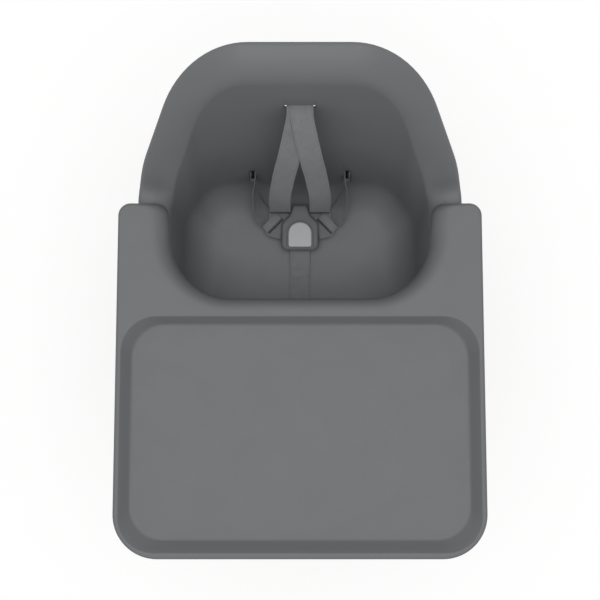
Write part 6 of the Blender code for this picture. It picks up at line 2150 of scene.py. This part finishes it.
def leg_bolts():
    """A hexagon-socket bolt and a domed cap nut, each modelled once and copied to every leg."""
    g = sizes().legs
    flat = g.top_radius + GAP + g.socket_wall + MM + GAP
    head = 3.5 * MM
    nut_length = 6 * MM
    tip = flat + nut_length * 0.7
    profile = arc_profile(g.bolt_head, -flat - head, 0.9 * MM, -1, 4)
    profile += [(g.bolt_head, -flat), (g.bolt, -flat), (g.bolt, flat - 14 * MM)]
    z = flat - 14 * MM
    while z < tip - 1.5 * MM:
        profile += [(g.bolt * 0.86, z + 0.5 * MM), (g.bolt, z + MM)]
        z += MM
    profile += [(g.bolt * 0.6, tip)]
    bolt = turned("leg_bolt", profile, 40)
    cut(bolt, rod("hex_socket", 2.3 * MM, -flat - head - MM, -flat - head + 2 * MM, sides=6))
    corner = g.bolt_head
    stations = ((0.94, 0), (1, 0.4), (1, 3.2), (0.9, 3.7))
    hexagon = turned("leg_nut", [(corner * share, flat + up * MM) for share, up in stations], 6)
    wide = corner * 0.80
    foot = flat + 3.9 * MM
    dome = [(wide, flat + 2 * MM), (wide, foot)]
    dome += [(max(wide * c, corner * 0.04), foot + 2.1 * MM * s) for s, c in quarter(6)[1:]]
    fuse(hexagon, turned("nut_dome", dome, 32))
    cut(hexagon, rod("nut_bore", g.bolt + GAP, flat - MM, tip + GAP, sides=28))
    lines = leg_lines()
    frames = [cross_frame(a, b) for _, a, b in lines]
    seat_screws(bolt, [f"leg_bolt_{name}" for name, _, _ in lines], frames, "chair")
    seat_screws(hexagon, [f"leg_nut_{name}" for name, _, _ in lines], frames, "chair")


def foot_cap(name, top, foot):
    """A rubber cap on the leg's end, cut flat where it stands on the floor."""
    g = sizes().legs
    end = leg_length(top, foot)
    start = end - g.cap_height
    outside = leg_radius(top, foot, start) + GAP + g.cap_wall
    low = (foot - top).length + outside
    profile = arc_profile(outside, start, MM, -1, 4)
    # Two grip rings run round the cap
    for at in (start + 7 * MM, start + 10.5 * MM):
        profile += [
            (outside, at), (outside - 0.5 * MM, at + 0.5 * MM), (outside - 0.5 * MM, at + MM),
            (outside, at + 1.5 * MM),
        ]
    profile.append((outside, low))
    frame_ = leg_frame(top, foot)
    cap = place(turned(f"foot_cap_{name}", profile, 48), frame_)
    narrow = g.foot_radius + GAP
    wide = leg_radius(top, foot, start - 2 * MM) + GAP
    cut(cap, place(turned(f"cap_bore_{name}", [(wide, start - 2 * MM), (narrow, end + GAP)], 48), frame_))
    reach = outside * 4
    below_low = (foot.x - reach, foot.y - reach, -reach)
    cut(cap, block(f"cap_floor_{name}", below_low, (foot.x + reach, foot.y + reach, 0)))
    finish(cap, "moulded_rubber", "chair", f"foot_cap_{name}", 30)


def clamp_arm_top():
    g = sizes().legs
    return g.rest_top - g.rest_thickness - GAP


def clamp_centre(top, foot):
    """Where a front leg's middle line passes through its clamp's arm."""
    height = clamp_arm_top() - 2 * MM
    return top.lerp(foot, (top.z - height) / (top.z - foot.z))


def clamp_screw_places(centre, sign):
    """Places of the two screws that go up through a clamp's arm into the board."""
    g = sizes().legs
    y = centre.y + g.arm_rear_reach - g.arm_depth / 2
    inner = centre.x - sign * (g.arm_length - 8 * MM)
    return [(inner, y), (inner + sign * 26 * MM, y)]


def clamp(side, sign, a, b):
    """A ring round a front leg with an arm under the board, and a set screw through its wall."""
    g = sizes().legs
    arm_top = clamp_arm_top()
    thick = 4 * MM
    frame_ = leg_frame(a, b)
    down = (b - a).normalized()
    centre = clamp_centre(a, b)
    along = (centre - a).length
    radius = leg_radius(a, b, along)
    low = along - g.clamp_height / 2
    high = along + g.clamp_height / 2
    outside = radius + g.clamp_wall
    ends = arc_profile(outside, low, MM, -1, 3) + arc_profile(outside, high, MM, 1, 3)
    body = place(turned(f"footrest_clamp_{side}", ends, 48), frame_)
    x0, x1 = sorted((centre.x - sign * g.arm_length, centre.x))
    rear = centre.y + g.arm_rear_reach
    arm = rounded_block("clamp_arm", (x0, rear - g.arm_depth, arm_top - thick), (x1, rear, arm_top), 5 * MM)
    soften(arm, 0.5 * MM, 2)
    fuse(body, arm)
    wide = leg_radius(a, b, low - 2 * MM) + GAP
    narrow = leg_radius(a, b, high + 2 * MM) + GAP
    bore = [(wide, low - 2 * MM), (narrow, high + 2 * MM)]
    cut(body, place(turned(f"clamp_bore_{side}", bore, 48), frame_))
    reach = g.arm_length * 2
    above_low = (centre.x - reach, centre.y - reach, arm_top)
    cut(body, block("clamp_top", above_low, (centre.x + reach, centre.y + reach, arm_top + g.clamp_height)))
    out = Vector((sign, 0, 0))
    out = (out - down * out.dot(down)).normalized()
    across = axis_frame(centre + down * g.clamp_height / 4, out, down)
    cut(body, rod("set_screw_hole", 2.8 * MM, 0, radius + g.clamp_wall * 2, across, 28))
    for x, y in clamp_screw_places(centre, sign):
        tool = rod("clamp_hole", SCREW_ROOM, arm_top - thick - MM, arm_top + MM, sides=28)
        cut(body, place(tool, shift(x, y)))
    finish(body, "glass_filled_nylon", "chair", f"footrest_clamp_{side}", 35)

    start = radius + GAP * 2
    end = radius + g.clamp_wall + 2 * MM
    profile = [(1.6 * MM, start), (2.5 * MM, start + 0.8 * MM)]
    profile += arc_profile(2.5 * MM, end, 0.4 * MM, 1, 3)
    pin = turned("set_screw", profile, 32)
    cut(pin, rod("pin_socket", 1.35 * MM, end - 1.8 * MM, end + MM, sides=6))
    finish(place(pin, across), "zinc_plated_steel", "chair", f"clamp_set_screw_{side}", 35)


class HIGHCHAIR_OT_footrest(Operator):
    """Makes the footrest: a beech board screwed to two clamps round the front legs"""

    bl_idname = "high_chair.footrest"
    bl_label = "Footrest"

    def execute(self, context):
        g = sizes().legs
        bottom = g.rest_top - g.rest_thickness
        fronts = [line for line in leg_lines() if line[0].startswith("front")]
        right = clamp_centre(*fronts[-1][1:])
        rear = right.y + g.rest_rear_reach
        half = right.x - g.rest_side_room

        def outline(margin):
            front = rear - g.rest_depth + margin
            return rounded_rectangle(half - margin, front, rear - margin, g.rest_corner - margin)

        e = g.rest_edge
        loops = [flat_loop(outline(e * (1 - s)), bottom + e * (1 - c)) for s, c in quarter(6)]
        loops += [flat_loop(outline(e * (1 - c)), g.rest_top - e + e * s) for s, c in quarter(6)]
        board = loft("footrest_board", loops)
        names = []
        frames = []
        for (side, sign), (_, a, b) in zip(SIDES, fronts):
            centre = clamp_centre(a, b)
            clamp(side, sign, a, b)
            for end, (x, y) in zip(("inner", "outer"), clamp_screw_places(centre, sign)):
                hole = rod("board_hole", SCREW_ROOM, bottom - MM, bottom + 10.2 * MM, sides=24)
                cut(board, place(hole, shift(x, y)))
                names.append(f"footrest_screw_{end}_{side}")
                frames.append(shift(x, y, clamp_arm_top() - 4 * MM - GAP))
        # The board's grain runs across, from leg to leg
        keep_grain(board, axis_frame((0, rear, g.rest_top), (1, 0, 0), (0, 1, 0)))
        finish(board, "beech", "chair", "footrest_board", 30)
        first = cross_head_screw("footrest_screw", 4 * MM, 2.5 * MM, 2 * MM, 14 * MM)
        seat_screws(first, names, frames, "chair")
        return {"FINISHED"}


# Stage
def sky_light(strength):
    """A white sky all round: even light on the chair, and plain white wherever the camera sees past it."""
    world = bpy.data.worlds.new("sky")
    bpy.context.scene.world = world
    world.use_nodes = True
    tree = world.node_tree
    tree.nodes.clear()
    light = add_node(tree, "Background", {"Color": WHITE, "Strength": strength})
    plain = add_node(tree, "Background", {"Color": WHITE, "Strength": 1})
    mix = add_node(tree, "MixShader", [seen_directly(tree), light, plain])
    add_node(tree, "OutputWorld", {"Surface": mix})


def ceiling_light(strength, spread):
    """A wide soft light straight above, as from a panel on the ceiling."""
    bpy.ops.object.light_add(type="SUN", location=(0, 0, 3))
    lamp = bpy.context.active_object
    lamp.name = "ceiling_light"
    lamp.data.energy = strength
    lamp.data.angle = spread


def seen_directly(tree):
    """1 for rays from the camera, off glossy surfaces or through clear ones, and 0 for soft light."""
    seen = add_node(tree, "LightPath", out="Is Camera Ray")
    rays = seen.node.outputs
    for kind in ("Is Glossy Ray", "Is Transmission Ray"):
        seen = add_node(tree, "Math", [seen, rays[kind]], operation="MAXIMUM")
    return seen


def floor_look():
    """White paper: it takes the chair's soft shadow, and shines a little so that the rest stays white."""
    look = bpy.data.materials.new("white_paper")
    look.use_nodes = True
    tree = look.node_tree
    tree.nodes.clear()
    # Mid grey, so that it throws little light up on the back
    paper = add_node(tree, "BsdfDiffuse", {"Color": (0.45, 0.45, 0.45, 1)})
    strength = add_node(tree, "Math", [seen_directly(tree), sizes().stage.glow], operation="MULTIPLY")
    glow = add_node(tree, "Emission", {"Color": WHITE, "Strength": strength})
    both = add_node(tree, "AddShader", [paper, glow])
    add_node(tree, "OutputMaterial", {"Surface": both})
    return look


class HIGHCHAIR_OT_stage(Operator):
    """Sets the floor, the soft light and the camera that looks straight down"""

    bl_idname = "high_chair.stage"
    bl_label = "Stage"

    def execute(self, context):
        stage = sizes().stage
        bpy.ops.mesh.primitive_plane_add(size=2 * stage.floor, location=(0, 0, 0))
        floor = named("floor")
        floor.data.materials.append(floor_look())
        sky_light(stage.sky)
        ceiling_light(stage.ceiling, stage.ceiling_spread)
        bpy.ops.object.camera_add(location=(0, stage.camera_y, stage.camera_height), rotation=(0, 0, 0))
        camera = bpy.context.active_object
        camera.name = "camera"
        camera.data.lens = stage.lens
        camera.data.clip_end = 50
        context.scene.camera = camera
        context.scene.view_settings.view_transform = "Standard"
        return {"FINISHED"}


# Sidebar and registration
PIECES = (
    HIGHCHAIR_OT_seat_shell, HIGHCHAIR_OT_strap_bars, HIGHCHAIR_OT_shoulder_straps,
    HIGHCHAIR_OT_waist_straps, HIGHCHAIR_OT_crotch_strap, HIGHCHAIR_OT_buckle, HIGHCHAIR_OT_tray,
    HIGHCHAIR_OT_runners, HIGHCHAIR_OT_seat_base, HIGHCHAIR_OT_legs, HIGHCHAIR_OT_footrest,
    HIGHCHAIR_OT_stage,
)


class HIGHCHAIR_PT_panel(Panel):
    """Lists the sizes and the steps that build the chair"""

    bl_idname = "HIGHCHAIR_PT_panel"
    bl_label = "High chair"
    bl_space_type = "VIEW_3D"
    bl_region_type = "UI"
    bl_category = "High chair"

    def draw(self, context):
        chair = context.scene.high_chair
        self.layout.prop(chair, "smoothness")
        for part in ("seat", "harness", "buckle", "tray", "legs", "colours", "stage"):
            group = getattr(chair, part)
            box = self.layout.box()
            box.label(text=group.rna_type.name)
            for name in group.bl_rna.properties.keys():
                if name not in ("rna_type", "name"):
                    box.prop(group, name)
        for piece in PIECES:
            self.layout.operator(piece.bl_idname)


GROUPS = (SeatSizes, HarnessSizes, BuckleSizes, TraySizes, LegSizes, FinishColours, StageSizes, HighChair)
CLASSES = (*GROUPS, *PIECES, HIGHCHAIR_PT_panel)


def register():
    for cls in CLASSES:
        bpy.utils.register_class(cls)
    bpy.types.Scene.high_chair = PointerProperty(type=HighChair)


def unregister():
    del bpy.types.Scene.high_chair
    for cls in reversed(CLASSES):
        bpy.utils.unregister_class(cls)


def main():
    register()
    bpy.ops.object.select_all(action="DESELECT")
    for piece in PIECES:
        group, name = piece.bl_idname.split(".")
        getattr(getattr(bpy.ops, group), name)()
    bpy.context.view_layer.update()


if __name__ == "__main__":
    main()
